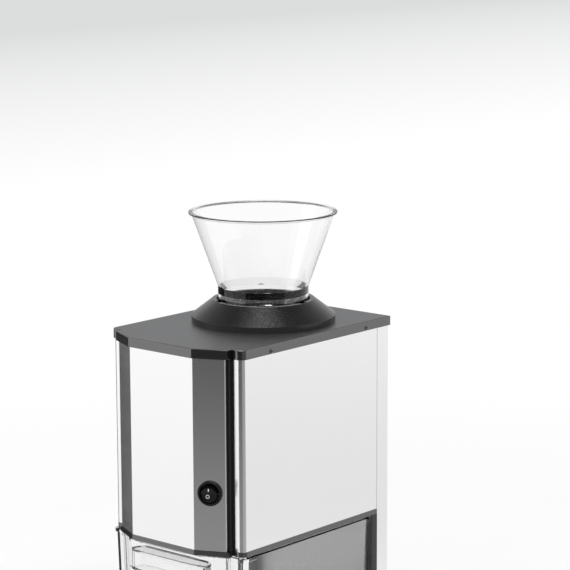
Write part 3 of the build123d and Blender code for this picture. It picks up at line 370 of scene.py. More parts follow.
def dress(finish, *nodes):
    """Gives CAD nodes that keep their own shape a finish."""
    for name in nodes:
        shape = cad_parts[name].data
        shape.materials.clear()
        shape.materials.append(finish)


def place_piece(bm, name, finish, body, slot, *nodes, sharp=22.0):
    """Makes a mesh a piece that rides on `body` and replaces the CAD nodes named last."""
    mesh = bpy.data.meshes.new(name)
    bm.to_mesh(mesh)
    bm.free()
    mesh.materials.append(finish)
    mesh.shade_smooth()
    mesh.set_sharp_from_angle(angle=math.radians(sharp))
    piece = bpy.data.objects.new(name, mesh)
    bpy.context.scene.collection.objects.link(piece)
    flats = piece.modifiers.new("flats_stay_flat", "WEIGHTED_NORMAL")
    flats.keep_sharp = True
    flats.weight = 80
    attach(piece, body)
    if nodes:
        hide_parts(*nodes)


def turned(profile, steps=96):
    """Ring or disc turned about Z from an outline of (radius, height) points."""
    bm = bmesh.new()
    points = [bm.verts.new((radius, 0.0, height)) for radius, height in profile]
    for here, there in zip(points, points[1:] + points[:1]):
        if here.co.x > 0 or there.co.x > 0:
            bm.edges.new((here, there))
    bmesh.ops.spin(
        bm,
        geom=bm.verts[:] + bm.edges[:],
        cent=(0, 0, 0),
        axis=(0, 0, 1),
        dvec=(0, 0, 0),
        angle=math.tau,
        steps=steps,
        use_merge=True,
        use_duplicate=False,
    )
    bmesh.ops.remove_doubles(bm, verts=bm.verts, dist=1e-6)
    bmesh.ops.recalc_face_normals(bm, faces=bm.faces)
    return bm


WELD = 2e-6
FLAT_WITHIN = math.radians(0.4)
SHARP_FROM = math.radians(30)


def eased_copy(node, edge, steps=2):
    """A CAD node's shape, its triangles joined and its sharp edges rounded by `edge`."""
    bm = bmesh.new()
    bm.from_mesh(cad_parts[node].data)
    bmesh.ops.remove_doubles(bm, verts=bm.verts, dist=WELD)
    bmesh.ops.dissolve_limit(bm, angle_limit=FLAT_WITHIN, verts=bm.verts, edges=bm.edges)
    if edge:
        shared = [e for e in bm.edges if len(e.link_faces) == 2]
        sharp = [e for e in shared if e.calc_face_angle() > SHARP_FROM]
        bmesh.ops.bevel(
            bm,
            geom=sharp,
            offset=edge,
            offset_type="OFFSET",
            affect="EDGES",
            segments=steps,
            profile=0.5,
            material=-1,
            clamp_overlap=True,
        )
    return bm


MOULDED_EDGE = 0.0004
place_piece(
    eased_copy("base_tray", MOULDED_EDGE),
    "moulded_base_tray",
    black_abs,
    "frame",
    "black_moulding",
    "base_tray",
)
dress(black_abs, "base_cover")

# Moulded rubber: a dull charcoal without any shine, with pores of about 0.1 mm drawn coarser.
PORE_MM = 0.4545
foot_rubber, tree, place = new_finish("moulded_foot_rubber")
grit = add_node(tree, "TexNoise", {"Vector": place, "Scale": 1000 / PORE_MM, "Detail": 2.0})
tone = add_node(
    tree,
    "Mix",
    {"Factor": grit.outputs["Fac"], "A": paint("171717"), "B": paint("242423")},
    data_type="RGBA",
)
pores = add_node(
    tree,
    "Bump",
    {"Height": grit.outputs["Fac"], "Strength": 0.25, "Distance": 0.0003},
)
surface = add_node(
    tree,
    "BsdfPrincipled",
    {
        "Base Color": tone.outputs["Result"],
        "Roughness": 0.82,
        "Normal": pores.outputs[0],
        "IOR": 1.5,
    },
)
show(tree, surface)

# The foot's outline starts at the rim of the recess for the screw's head, goes out and up past a
# groove, and comes back down the screw's hole.
FOOT_RADIUS = 0.011
FOOT_HEIGHT = 0.007
FOOT_STEPS = 48
FOOT_SPOTS = [(x, y) for x in (-0.0582, 0.0582) for y in (-0.07375, 0.08905)]
FOOT_PROFILE = [
    (0.0037, 0.0),
    (FOOT_RADIUS - 0.0021, 0.0),
    (FOOT_RADIUS - 0.0015, 0.0006),
    (FOOT_RADIUS - 0.0009, 0.0026),
    (FOOT_RADIUS - 0.0016, 0.0030),
    (FOOT_RADIUS - 0.0016, 0.0036),
    (FOOT_RADIUS - 0.0006, 0.0040),
    (FOOT_RADIUS, FOOT_HEIGHT - 0.0004),
    (FOOT_RADIUS - 0.0003, FOOT_HEIGHT),
    (0.0017, FOOT_HEIGHT),
    (0.0017, FOOT_HEIGHT / 2),
    (0.0037, FOOT_HEIGHT / 2),
]


def join_to(whole, bm):
    """Adds a finished mesh to the one that holds all pieces of its kind."""
    mesh = bpy.data.meshes.new("part")
    bm.to_mesh(mesh)
    bm.free()
    whole.from_mesh(mesh)
    bpy.data.meshes.remove(mesh)


feet = bmesh.new()
for x, y in FOOT_SPOTS:
    foot = turned(FOOT_PROFILE, FOOT_STEPS)
    bmesh.ops.translate(foot, verts=foot.verts, vec=(x, y, 0))
    join_to(feet, foot)
place_piece(feet, "ribbed_rubber_feet", foot_rubber, "frame", "rubber", "rubber_feet")

# ---- Steel case ----
# Front panel with three facets, two side panels bent round the front corners, a rear shell and
# the back of the bin's bay: 0.8 mm stainless sheet with a fine level brushing, edges hidden or
# hemmed.

# Fine brushed stainless: an almost mirror-bright skin that draws reflections out softly along its
# level lines. The lines are about 0.1 mm apart and are drawn coarser, so that they show.
GRAIN_MM = 0.7
GRAIN_LENGTH_MM = 45.0
STEEL_CLOUD_MM = 111.1
brushed_steel, tree, place = new_finish("level_brushed_stainless")
stretch = add_node(
    tree,
    "Mapping",
    {"Vector": place, "Scale": (1000 / GRAIN_LENGTH_MM, 1000 / GRAIN_LENGTH_MM, 1000 / GRAIN_MM)},
)
grain = add_node(
    tree,
    "TexNoise",
    {"Vector": stretch.outputs[0], "Scale": 1.0, "Detail": 3.0, "Roughness": 0.65},
)
cloud = add_node(tree, "TexNoise", {"Vector": place, "Scale": 1000 / STEEL_CLOUD_MM, "Detail": 2.0})
tone = add_node(
    tree,
    "Mix",
    {"Factor": grain.outputs["Fac"], "A": paint("fafafa"), "B": paint("ffffff")},
    data_type="RGBA",
)
mixed = add_node(
    tree,
    "Math",
    {0: grain.outputs["Fac"], 1: cloud.outputs["Fac"]},
    operation="MULTIPLY",
)
gloss = add_node(
    tree,
    "MapRange",
    {"Value": mixed.outputs[0], "From Max": 0.5, "To Min": 0.15, "To Max": 0.24},
)
scratch = add_node(
    tree,
    "Bump",
    {"Height": grain.outputs["Fac"], "Strength": 0.05, "Distance": 0.0002},
)
surface = add_node(
    tree,
    "BsdfPrincipled",
    {
        "Base Color": tone.outputs["Result"],
        "Metallic": 1.0,
        "Roughness": gloss.outputs["Result"],
        "Normal": scratch.outputs[0],
    },
)
show(tree, surface)
for node, name in {
    "front_panel": "folded_front_panel",
    "left_side_panel": "left_bent_side",
    "right_side_panel": "right_bent_side",
    "rear_shell": "slotted_rear_shell",
}.items():
    place_piece(eased_copy(node, 0.0), name, brushed_steel, "frame", "brushed_steel", node)

# Mill-finished stainless behind the bin: an even grey that only glows where the front mirrors,
# with faint upright rolling marks.
ROLL_MM = 3.333
ROLL_LENGTH_MM = 83.33
dull_steel, tree, place = new_finish("dull_rolled_stainless")
roll = add_node(
    tree,
    "Mapping",
    {"Vector": place, "Scale": (1000 / ROLL_MM, 1000 / ROLL_MM, 1000 / ROLL_LENGTH_MM)},
)
grain = add_node(tree, "TexNoise", {"Vector": roll.outputs[0], "Scale": 1.0, "Detail": 3.0})
tone = add_node(
    tree,
    "Mix",
    {"Factor": grain.outputs["Fac"], "A": paint("b6b6b7"), "B": paint("c0c0c1")},
    data_type="RGBA",
)
gloss = add_node(
    tree,
    "MapRange",
    {"Value": grain.outputs["Fac"], "To Min": 0.36, "To Max": 0.48},
)
surface = add_node(
    tree,
    "BsdfPrincipled",
    {"Base Color": tone.outputs["Result"], "Metallic": 1.0, "Roughness": gloss.outputs["Result"]},
)
show(tree, surface)
dress(dull_steel, "bay_back_panel")

# ---- Black posts ----
# Extruded black strips fill the grooves beside the front panel, and two moulded posts stand
# behind the bin. All are of the same black ABS as the base.
EXTRUDED_EDGE = 0.0003
for node, name, edge in (
    ("left_groove_post", "left_groove_strip", EXTRUDED_EDGE),
    ("right_groove_post", "right_groove_strip", EXTRUDED_EDGE),
    ("bay_posts", "rear_bay_posts", MOULDED_EDGE),
):
    place_piece(eased_copy(node, edge), name, black_abs, "frame", "black_moulding", node)

# ---- Seam shade ----
# A thin black strip is painted shade in the seam between each side panel and the rear shell. It
# lies just below the steel, and is seen as a fine dark line.
SEAM_Y = 0.09345
SEAM_GAP = 0.0004
SEAM_FACE = 0.0793
SEAM_THICK = 0.0004
SEAM_BOTTOM, SEAM_TOP = 0.1794, 0.3610
seam_shade_strips = bmesh.new()
for side in (-1, 1):
    seam_shade_strip = bmesh.ops.create_grid(seam_shade_strips, x_segments=1, y_segments=1, size=0.5)["verts"]
    bmesh.ops.scale(seam_shade_strips, verts=seam_shade_strip, vec=(SEAM_TOP - SEAM_BOTTOM, SEAM_GAP, 1))
    upright = Matrix.Rotation(side * math.pi / 2, 3, "Y")
    bmesh.ops.rotate(seam_shade_strips, verts=seam_shade_strip, cent=(0, 0, 0), matrix=upright)
    spot = (side * SEAM_FACE, SEAM_Y - SEAM_GAP / 2, (SEAM_TOP + SEAM_BOTTOM) / 2)
    bmesh.ops.translate(seam_shade_strips, verts=seam_shade_strip, vec=spot)
    face = [f for f in seam_shade_strips.faces if f.verts[0] in seam_shade_strip]
    inner = bmesh.ops.extrude_face_region(seam_shade_strips, geom=face, use_keep_orig=True)["geom"]
    inner = [v for v in inner if isinstance(v, bmesh.types.BMVert)]
    bmesh.ops.translate(seam_shade_strips, verts=inner, vec=(-side * SEAM_THICK, 0, 0))
bmesh.ops.recalc_face_normals(seam_shade_strips, faces=seam_shade_strips.faces)
place_piece(seam_shade_strips, "painted_seam_shade", foot_rubber, "frame", "rubber")

# ---- Deck and top cover ----
# The cover is a shallow lid of dark grey lacquered metal that hangs over the panels' top edges;
# the deck below the machine room has the same lacquer on its edge.

# Metallic lacquer over steel: a smoky dark grey that mirrors like glass on its rim and is duller on
# its flat, whose grey is painted paler as painted light on the top, with fine flakes and a slight
# orange peel. The flakes are drawn coarser.
PEEL_MM = 1.429
FLAKE_MM = 0.4
FLAT_START, FLAT_END = 0.3630, 0.3639
RIM_ROUGHNESS, FLAT_ROUGHNESS = 0.17, 0.31
PEEL_ROUGHNESS = 0.07
dark_lacquer, tree, place = new_finish("dark_grey_lacquer")
peel = add_node(tree, "TexNoise", {"Vector": place, "Scale": 1000 / PEEL_MM, "Detail": 2.0})
flake = add_node(tree, "TexVoronoi", {"Vector": place, "Scale": 1000 / FLAKE_MM})
tone = add_node(
    tree,
    "Mix",
    {"Factor": flake.outputs["Distance"], "A": paint("727273"), "B": paint("7c7c7d")},
    data_type="RGBA",
)
top_light_and_dullness = add_node(tree, "SeparateXYZ", {"Vector": place}).outputs["Z"]
top_light_and_dullness = add_node(tree, "MapRange", {"Value": top_light_and_dullness, "From Min": FLAT_START, "From Max": FLAT_END})
# The flat top's paler grey is painted light.
tone = add_node(
    tree,
    "Mix",
    {"Factor": top_light_and_dullness.outputs["Result"], "A": tone.outputs["Result"], "B": paint("969697")},
    data_type="RGBA",
)
dull = add_node(
    tree,
    "MapRange",
    {"Value": top_light_and_dullness.outputs["Result"], "To Min": RIM_ROUGHNESS, "To Max": FLAT_ROUGHNESS},
)
gloss = add_node(
    tree,
    "Math",
    {0: peel.outputs["Fac"], 1: PEEL_ROUGHNESS, 2: dull.outputs["Result"]},
    operation="MULTIPLY_ADD",
)
skin = add_node(
    tree,
    "Bump",
    {"Height": peel.outputs["Fac"], "Strength": 0.03, "Distance": 0.0001},
)
surface = add_node(
    tree,
    "BsdfPrincipled",
    {
        "Base Color": tone.outputs["Result"],
        "Metallic": 1.0,
        "Roughness": gloss.outputs[0],
        "Normal": skin.outputs[0],
        "Specular Tint": paint("d9d9d9"),
    },
)
show(tree, surface)
FOLDED_EDGE = 0.0002
for node, name, edge in (
    ("top_cover", "lacquered_top_cover", FOLDED_EDGE),
    ("deck", "lacquered_deck", MOULDED_EDGE),
):
    place_piece(eased_copy(node, edge), name, dark_lacquer, "frame", "black_moulding", node)

# ---- Screws ----
# Domed screws with a deep socket hold the cover to the sides, and small pan-head screws the shell
# to the base and deck; socket screws hold the working parts. All are steel with a dark zinc
# plating.

# The plating gives the eye a smoky metal with a slightly hazy shine.
PLATING_MM = 1.111
plated_steel, tree, place = new_finish("dark_zinc_plating")
haze = add_node(tree, "TexNoise", {"Vector": place, "Scale": 1000 / PLATING_MM, "Detail": 3.0})
tone = add_node(
    tree,
    "Mix",
    {"Factor": haze.outputs["Fac"], "A": paint("8e8e90"), "B": paint("a2a2a4")},
    data_type="RGBA",
)
gloss = add_node(tree, "MapRange", {"Value": haze.outputs["Fac"], "To Min": 0.24, "To Max": 0.4})
surface = add_node(
    tree,
    "BsdfPrincipled",
    {"Base Color": tone.outputs["Result"], "Metallic": 1.0, "Roughness": gloss.outputs["Result"]},
)
show(tree, surface)

# The outline is radius and height: shank, head, rolled edge, socket.
TRIM_SCREW = [
    (0.0, -0.0036),
    (0.0015, -0.0036),
    (0.0015, 0.0),
    (0.0022, 0.0),
    (0.0022, 0.0003),
    (0.0021, 0.0006),
    (0.0018, 0.0008),
    (0.0015, 0.0007),
    (0.0013, 0.0004),
    (0.0013, -0.0013),
    (0.0, -0.0013),
]
COVER_SIDE = 0.0812
SCREW_LEVEL = 0.3577
SCREW_STEPS = 32
COVER_SCREWS = [(side, y) for side in (-1, 1) for y in (-0.06005, 0.07505)]
heads = bmesh.new()
for side, y in COVER_SCREWS:
    head = turned(TRIM_SCREW, SCREW_STEPS)
    spot = Matrix.Translation((side * COVER_SIDE, y, SCREW_LEVEL))
    facing = Matrix.Rotation(side * math.pi / 2, 4, "Y")
    bmesh.ops.transform(head, matrix=spot @ facing, verts=head.verts)
    join_to(heads, head)
place_piece(heads, "domed_cover_screws", plated_steel, "frame", "fastener_steel", "cover_screws")
dress(
    plated_steel,
    "back_screws",
    "foot_screws",
    "collar_screws",
    "housing_bolts",
    "comb_bolts",
    "gearbox_screws",
    "motor_screws",
    "board_screws",
    "board_standoffs",
    "switch_terminals",
)

# ---- Hopper collar ----
# A satin black ring turned down from the hopper to the cover, with a soft edge at the foot of its
# slope, hollow below, and three slots in its bore that the hopper's tabs drop into.

# Satin ABS: a deep soft black whose slope catches one broad, even light.
SATIN_MM = 0.909
SATIN_CLOUD_MM = 71.43
COLLAR_EDGE = 0.0007
satin_black, tree, place = new_finish("satin_black_abs")
grit = add_node(tree, "TexNoise", {"Vector": place, "Scale": 1000 / SATIN_MM, "Detail": 2.0})
flow = add_node(
    tree,
    "TexNoise",
    {"Vector": place, "Scale": 1000 / SATIN_CLOUD_MM, "Detail": 2.0},
)
tone = add_node(
    tree,
    "Mix",
    {"Factor": flow.outputs["Fac"], "A": paint("1e1e1f"), "B": paint("242425")},
    data_type="RGBA",
)
gloss = add_node(
    tree,
    "MapRange",
    {"Value": grit.outputs["Fac"], "To Min": 0.265, "To Max": 0.28},
)
surface = add_node(
    tree,
    "BsdfPrincipled",
    {"Base Color": tone.outputs["Result"], "Roughness": gloss.outputs["Result"], "IOR": 1.53},
)
show(tree, surface)
place_piece(
    eased_copy("hopper_collar", COLLAR_EDGE, 3),
    "satin_hopper_collar",
    satin_black,
    "frame",
    "black_moulding",
    "hopper_collar",
)
dress(foot_rubber, "hopper_gasket", "shaft_seal")

# ---- Hopper ----
# One clear polycarbonate funnel: a rolled lip, a cone that runs on down inside a short skirt, and
# three tabs on its foot. It lifts out of the collar.

# Clear polycarbonate: nearly nothing where it is looked through, thin grey lines along its edges,
# and a slow moulding ripple that bends what lies behind. Its index of refraction is lower than
# the real one, because the photo shows it that pale.
RIPPLE_MM = 38.46
HAZE_MM = 3.333
clear_plastic, tree, place = new_finish("clear_polycarbonate")
ripple = add_node(tree, "TexNoise", {"Vector": place, "Scale": 1000 / RIPPLE_MM, "Detail": 1.0})
haze = add_node(tree, "TexNoise", {"Vector": place, "Scale": 1000 / HAZE_MM, "Detail": 2.0})
gloss = add_node(tree, "MapRange", {"Value": haze.outputs["Fac"], "To Min": 0.0, "To Max": 0.03})
wave = add_node(
    tree,
    "Bump",
    {"Height": ripple.outputs["Fac"], "Strength": 0.05, "Distance": 0.001},
)
surface = add_node(
    tree,
    "BsdfPrincipled",
    {
        "Base Color": paint("ffffff"),
        "Roughness": gloss.outputs["Result"],
        "Normal": wave.outputs[0],
        "IOR": 1.44,
        "Transmission Weight": 1.0,
    },
)
show(tree, surface)

# The outline is radius and height over the cover: foot bead, outer skirt and cone, lip, inner
# cone, and the gap between cone and skirt.
HOPPER_PROFILE = [
    (0.0402, 0.0058),
    (0.0431, 0.0058),
    (0.0435, 0.0062),
    (0.0435, 0.0094),
    (0.0431, 0.0098),
    (0.0425, 0.0100),
    (0.0425, 0.0320),
    (0.0428, 0.0331),
    (0.0667, 0.1003),
    (0.0674, 0.1009),
    (0.0689, 0.1011),
    (0.0694, 0.1015),
    (0.0695, 0.1020),
    (0.0694, 0.1025),
    (0.0689, 0.1029),
    (0.0682, 0.1030),
    (0.0660, 0.1030),
    (0.0654, 0.1027),
    (0.0652, 0.1023),
    (0.0324, 0.0105),
    (0.0347, 0.0105),
    (0.0402, 0.0258),
]
FUNNEL_STEPS = 144
HOPPER_AXIS = Vector((0.0, 0.02215, 0.364))
funnel = turned(HOPPER_PROFILE, FUNNEL_STEPS)
TAB_ANGLES = [math.radians(-115 + turn) for turn in (0, 120, 240)]
TAB_HALF = 0.004
TAB_OUT = 0.0031
BEAD_RADIUS = 0.0435
BEAD_PLAY = 0.0002
BEAD_LOW, BEAD_HIGH = 0.006, 0.0096
tab_faces = []
for face in funnel.faces:
    middle = face.calc_center_median()
    on_bead = abs(math.hypot(middle.x, middle.y) - BEAD_RADIUS) < BEAD_PLAY
    if on_bead and BEAD_LOW < middle.z < BEAD_HIGH:
        for angle in TAB_ANGLES:
            side = middle.y * math.cos(angle) - middle.x * math.sin(angle)
            out = middle.x * math.cos(angle) + middle.y * math.sin(angle)
            if abs(side) < TAB_HALF and out > 0:
                tab_faces.append(face)
tabs = bmesh.ops.extrude_face_region(funnel, geom=tab_faces)
for point in [v for v in tabs["geom"] if isinstance(v, bmesh.types.BMVert)]:
    out = Vector((point.co.x, point.co.y, 0)).normalized()
    point.co += out * TAB_OUT
bmesh.ops.delete(funnel, geom=tab_faces, context="FACES_ONLY")
bmesh.ops.recalc_face_normals(funnel, faces=funnel.faces)
bmesh.ops.translate(funnel, verts=funnel.verts, vec=HOPPER_AXIS)
place_piece(
    funnel,
    "clear_funnel",
    clear_plastic,
    "hopper_body",
    "clear_plastic",
    "hopper",
    sharp=60.0,
)

# ---- Ice bin ----
# A clear drawer with the case's bowed front, drafted walls, a lip round its top, a pocket for the
# fingers and a raised grip below it. It slides out to the front.

# Clear moulded acrylic: bright and colourless, drawn mostly by dark lines at its rims and
# corners. Its index of refraction is lowered too.
SMEAR_MM = 25.0
BIN_EDGE = 0.0005
clear_acrylic, tree, place = new_finish("clear_moulded_acrylic")
haze = add_node(tree, "TexNoise", {"Vector": place, "Scale": 1000 / SMEAR_MM, "Detail": 2.0})
gloss = add_node(tree, "MapRange", {"Value": haze.outputs["Fac"], "To Min": 0.0, "To Max": 0.006})
surface = add_node(
    tree,
    "BsdfPrincipled",
    {
        "Base Color": paint("ffffff"),
        "Roughness": gloss.outputs["Result"],
        "IOR": 1.33,
        "Transmission Weight": 1.0,
    },
)
show(tree, surface)
place_piece(
    eased_copy("ice_bin", BIN_EDGE),
    "clear_ice_bin",
    clear_acrylic,
    "bin_body",
    "clear_plastic",
    "ice_bin",
)

# ---- Power switch ----
# A round snap-in rocker: a glossy black nylon bezel, and a dished cap with printed white marks
# that rests with its lower end pressed in.

# Glossy nylon: the blackest black on the machine, with small sharp lights on its edges.
POLISH_MM = 0.8333
BEZEL_EDGE = 0.0003
CAP_EDGE = 0.0006
switch_nylon, tree, place = new_finish("glossy_black_nylon")
haze = add_node(tree, "TexNoise", {"Vector": place, "Scale": 1000 / POLISH_MM, "Detail": 2.0})
tone = add_node(
    tree,
    "Mix",
    {"Factor": haze.outputs["Fac"], "A": paint("0c0c0d"), "B": paint("131314")},
    data_type="RGBA",
)
gloss = add_node(tree, "MapRange", {"Value": haze.outputs["Fac"], "To Min": 0.2, "To Max": 0.3})
surface = add_node(
    tree,
    "BsdfPrincipled",
    {"Base Color": tone.outputs["Result"], "Roughness": gloss.outputs["Result"], "IOR": 1.53},
)
show(tree, surface)
place_piece(
    eased_copy("switch_housing", BEZEL_EDGE),
    "switch_bezel",
    switch_nylon,
    "frame",
    "black_moulding",
    "switch_housing",
)

# Pad printing ink: a flat off-white with no shine, slightly uneven.
FLECK_MM = 0.3333
mark_ink, tree, place = new_finish("white_pad_print")
fleck = add_node(tree, "TexNoise", {"Vector": place, "Scale": 1000 / FLECK_MM, "Detail": 1.0})
tone = add_node(
    tree,
    "Mix",
    {"Factor": fleck.outputs["Fac"], "A": paint("e4e4e2"), "B": paint("f6f6f4")},
    data_type="RGBA",
)
surface = add_node(
    tree,
    "BsdfPrincipled",
    {"Base Color": tone.outputs["Result"], "Roughness": 0.5, "IOR": 1.5},
)
show(tree, surface)

# The switch sits square to the right facet, which is turned from the front by FACET_TURN radians.
# These axes run along the facet, up the tipped cap and out of it.
FACET_TURN = 0.450135
ROCKER_TILT = math.radians(12)
facet_out = Vector((math.sin(FACET_TURN), -math.cos(FACET_TURN), 0))
facet_along = Vector((math.cos(FACET_TURN), math.sin(FACET_TURN), 0))
rocker_out = facet_out * math.cos(ROCKER_TILT) - Vector((0, 0, 1)) * math.sin(ROCKER_TILT)
rocker_up = rocker_out.cross(facet_along)
rocker_axes = Matrix((facet_along, rocker_up, rocker_out)).transposed().to_4x4()
ROCKER_PIVOT = Vector((0.0522867, -0.11093, 0.2327))
on_switch = Matrix.Translation(ROCKER_PIVOT) @ rocker_axes
CAP_SHRINK = 0.87
cap = eased_copy("rocker_button", CAP_EDGE, 3)
shrink = on_switch @ Matrix.Diagonal((CAP_SHRINK, CAP_SHRINK, 1.0, 1.0)) @ on_switch.inverted()
bmesh.ops.transform(cap, matrix=shrink, verts=cap.verts)
place_piece(cap, "rocker_cap", switch_nylon, "rocker_body", "black_moulding", "rocker_button")

# The marks lie on the cap's two slopes, which rise from its middle: a bar for on, a ring for off.
ROCKER_MIDDLE = 0.002636
CAP_SLOPE = math.tan(ROCKER_TILT) / CAP_SHRINK
CAP_LEAN = math.atan(CAP_SLOPE)
BAR_SPOT = 0.0050
BAR_SIZE = (0.0007, 0.0033)
BAR_TURN = math.radians(-8)
RING_SPOT = (-0.0014, -0.0019)
RING_RADIUS = 0.0017
RING_LINE = 0.0004
RING_STEPS = 40
MARK_THICK = 0.0001
marks = bmesh.new()
bar = bmesh.ops.create_grid(marks, x_segments=1, y_segments=1, size=0.5)["verts"]
bmesh.ops.scale(marks, verts=bar, vec=(*BAR_SIZE, 1))
bmesh.ops.rotate(marks, verts=bar, cent=(0, 0, 0), matrix=Matrix.Rotation(BAR_TURN, 3, "Z"))
bmesh.ops.rotate(marks, verts=bar, cent=(0, 0, 0), matrix=Matrix.Rotation(CAP_LEAN, 3, "X"))
bmesh.ops.translate(marks, verts=bar, vec=(0, BAR_SPOT, ROCKER_MIDDLE + BAR_SPOT * CAP_SLOPE))
bmesh.ops.create_circle(marks, cap_ends=True, radius=RING_RADIUS, segments=RING_STEPS)
disc = [f for f in marks.faces if len(f.verts) == RING_STEPS]
bmesh.ops.inset_region(
    marks,
    faces=disc,
    thickness=RING_LINE,
    use_boundary=True,
    use_even_offset=True,
)
bmesh.ops.delete(marks, geom=disc, context="FACES")
ring = [v for v in marks.verts if v not in bar]
bmesh.ops.rotate(marks, verts=ring, cent=(0, 0, 0), matrix=Matrix.Rotation(-CAP_LEAN, 3, "X"))
bmesh.ops.translate(marks, verts=ring, vec=(*RING_SPOT, ROCKER_MIDDLE - RING_SPOT[1] * CAP_SLOPE))
bmesh.ops.translate(marks, verts=marks.verts, vec=(0, 0, -MARK_THICK / 2))
raised = bmesh.ops.extrude_face_region(marks, geom=marks.faces[:])["geom"]
raised = [v for v in raised if isinstance(v, bmesh.types.BMVert)]
bmesh.ops.translate(marks, verts=raised, vec=(0, 0, 1.5 * MARK_THICK))
bmesh.ops.recalc_face_normals(marks, faces=marks.faces)
bmesh.ops.transform(marks, matrix=on_switch, verts=marks.verts)
place_piece(marks, "rocker_marks", mark_ink, "rocker_body", "black_moulding")

# ---- Crushing chamber ----
# A cast aluminium box under the collar holds the comb and the star blades of ground steel, and a
# black chute leads from it down to the bin. The bushings are brass.

# Cast aluminium: a pale dull grey with the coarse skin of its mould, drawn at about 1 mm.
SAND_MM = 1.111
cast_alloy, tree, place = new_finish("cast_aluminium")
sand = add_node(
    tree,
    "TexNoise",
    {"Vector": place, "Scale": 1000 / SAND_MM, "Detail": 4.0, "Roughness": 0.6},
)
tone = add_node(
    tree,
    "Mix",
    {"Factor": sand.outputs["Fac"], "A": paint("a9aaab"), "B": paint("c6c7c8")},
    data_type="RGBA",
)
skin = add_node(
    tree,
    "Bump",
    {"Height": sand.outputs["Fac"], "Strength": 0.3, "Distance": 0.0004},
)
surface = add_node(
    tree,
    "BsdfPrincipled",
    {
        "Base Color": tone.outputs["Result"],
        "Metallic": 1.0,
        "Roughness": 0.48,
        "Normal": skin.outputs[0],
    },
)
show(tree, surface)
dress(cast_alloy, "crusher_housing", "gearbox_housing", "gearbox_cover")
dress(black_abs, "discharge_chute")

# Ground steel: bright and cool, with short level grinding lines. They are about 0.1 mm apart and
# are drawn coarser.
GRIND_MM = 0.625
GRIND_LENGTH_MM = 16.67
ground_steel, tree, place = new_finish("ground_blade_steel")
stretch = add_node(
    tree,
    "Mapping",
    {"Vector": place, "Scale": (1000 / GRIND_LENGTH_MM, 1000 / GRIND_LENGTH_MM, 1000 / GRIND_MM)},
)
grain = add_node(tree, "TexNoise", {"Vector": stretch.outputs[0], "Scale": 1.0, "Detail": 2.0})
tone = add_node(
    tree,
    "Mix",
    {"Factor": grain.outputs["Fac"], "A": paint("b4b5b7"), "B": paint("cfd0d2")},
    data_type="RGBA",
)
gloss = add_node(tree, "MapRange", {"Value": grain.outputs["Fac"], "To Min": 0.2, "To Max": 0.34})
surface = add_node(
    tree,
    "BsdfPrincipled",
    {"Base Color": tone.outputs["Result"], "Metallic": 1.0, "Roughness": gloss.outputs["Result"]},
)
show(tree, surface)
dress(
    ground_steel,
    "fixed_comb",
    "crusher_blades",
    "blade_spacers",
    "crusher_shaft",
    "shaft_nut",
    "idler_shaft",
    "motor_shaft",
)

# Machined brass: a warm yellow metal, a little tarnished in patches.
TARNISH_MM = 1.429
bushing_brass, tree, place = new_finish("machined_brass")
haze = add_node(tree, "TexNoise", {"Vector": place, "Scale": 1000 / TARNISH_MM, "Detail": 2.0})
tone = add_node(
    tree,
    "Mix",
    {"Factor": haze.outputs["Fac"], "A": paint("b08d4a"), "B": paint("cda85f")},
    data_type="RGBA",
)
surface = add_node(
    tree,
    "BsdfPrincipled",
    {"Base Color": tone.outputs["Result"], "Metallic": 1.0, "Roughness": 0.3},
)
show(tree, surface)
dress(bushing_brass, "front_bushing", "rear_bushing")

# ---- Gears ----
# The shaft's gear and the idler are shown here in natural nylon, off-white and a little waxy, and
# the motor's pinion in steel. The case hides them all.

# Natural nylon: a milky cream that light sinks into slightly.
WAX_MM = 8.333
gear_nylon, tree, place = new_finish("natural_nylon")
wax = add_node(tree, "TexNoise", {"Vector": place, "Scale": 1000 / WAX_MM, "Detail": 3.0})
tone = add_node(
    tree,
    "Mix",
    {"Factor": wax.outputs["Fac"], "A": paint("ded9c8"), "B": paint("ebe7da")},
    data_type="RGBA",
)
surface = add_node(
    tree,
    "BsdfPrincipled",
    {
        "Base Color": tone.outputs["Result"],
        "Roughness": 0.45,
        "IOR": 1.53,
        "Subsurface Weight": 0.1,
    },
)
show(tree, surface)
dress(gear_nylon, "shaft_gear", "idler_gear", "idler_pinion")
dress(ground_steel, "motor_pinion")

# ---- Motor ----
# A drawn steel can with a black end bell, two arc magnets, a slotted iron armature and a fan.

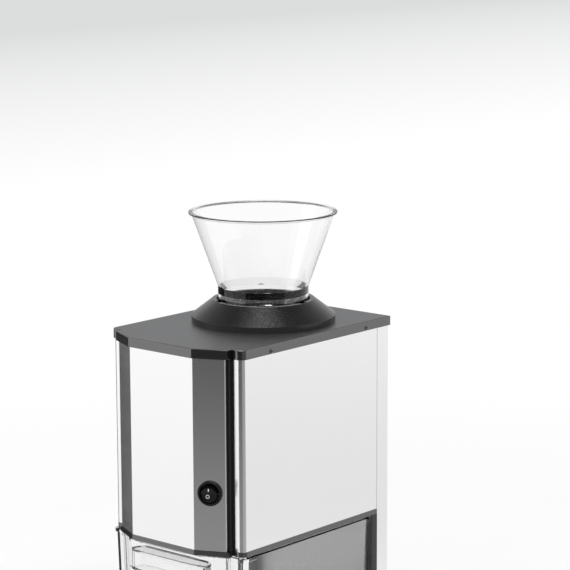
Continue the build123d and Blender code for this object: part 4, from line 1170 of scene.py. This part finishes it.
# Bright zinc: a bluish grey with a faint pattern of crystals some 4 mm across.
SPANGLE_MM = 3.846
motor_zinc, tree, place = new_finish("bright_zinc_plating")
spangle = add_node(tree, "TexVoronoi", {"Vector": place, "Scale": 1000 / SPANGLE_MM})
tone = add_node(
    tree,
    "Mix",
    {"Factor": spangle.outputs["Distance"], "A": paint("8b8d90"), "B": paint("a4a6a9")},
    data_type="RGBA",
)
surface = add_node(
    tree,
    "BsdfPrincipled",
    {"Base Color": tone.outputs["Result"], "Metallic": 1.0, "Roughness": 0.36},
)
show(tree, surface)
dress(motor_zinc, "motor_can")

# Laminated iron: a brownish dark grey, banded by its stacked sheets. They are 0.5 mm thick and
# are drawn about four times as thick. A wave of scale 1 repeats every tau / 20.
LAYER_MM = 1.9635
motor_iron, tree, place = new_finish("laminated_iron")
layers = add_node(
    tree,
    "TexWave",
    {"Vector": place, "Scale": 1000 * math.tau / 20 / LAYER_MM, "Distortion": 0.4},
    bands_direction="Y",
)
tone = add_node(
    tree,
    "Mix",
    {"Factor": layers.outputs["Fac"], "A": paint("4a4540"), "B": paint("645d56")},
    data_type="RGBA",
)
surface = add_node(
    tree,
    "BsdfPrincipled",
    {"Base Color": tone.outputs["Result"], "Metallic": 0.7, "Roughness": 0.55},
)
show(tree, surface)
dress(motor_iron, "motor_armature", "motor_magnets")
dress(black_abs, "end_bell", "cooling_fan")

# ---- Electrics and cord gland ----
# A small green board on four standoffs, with its capacitor and rectifier, a terminal block, and
# the gland in the back where the mains cord comes in, in the same black as the ABS.

# Glass-filled resin under green varnish: a satin green with a fine cloth mottle.
GLASS_MM = 2.0
board_resin, tree, place = new_finish("green_board_resin")
glass = add_node(tree, "TexVoronoi", {"Vector": place, "Scale": 1000 / GLASS_MM})
tone = add_node(
    tree,
    "Mix",
    {"Factor": glass.outputs["Distance"], "A": paint("1d5a36"), "B": paint("2b7349")},
    data_type="RGBA",
)
surface = add_node(
    tree,
    "BsdfPrincipled",
    {"Base Color": tone.outputs["Result"], "Roughness": 0.4, "IOR": 1.52},
)
show(tree, surface)
dress(board_resin, "power_board")
dress(black_abs, "board_components", "terminal_block", "gland_nut")
place_piece(
    eased_copy("cord_gland", MOULDED_EDGE),
    "nylon_cord_gland",
    black_abs,
    "frame",
    "black_moulding",
    "cord_gland",
)
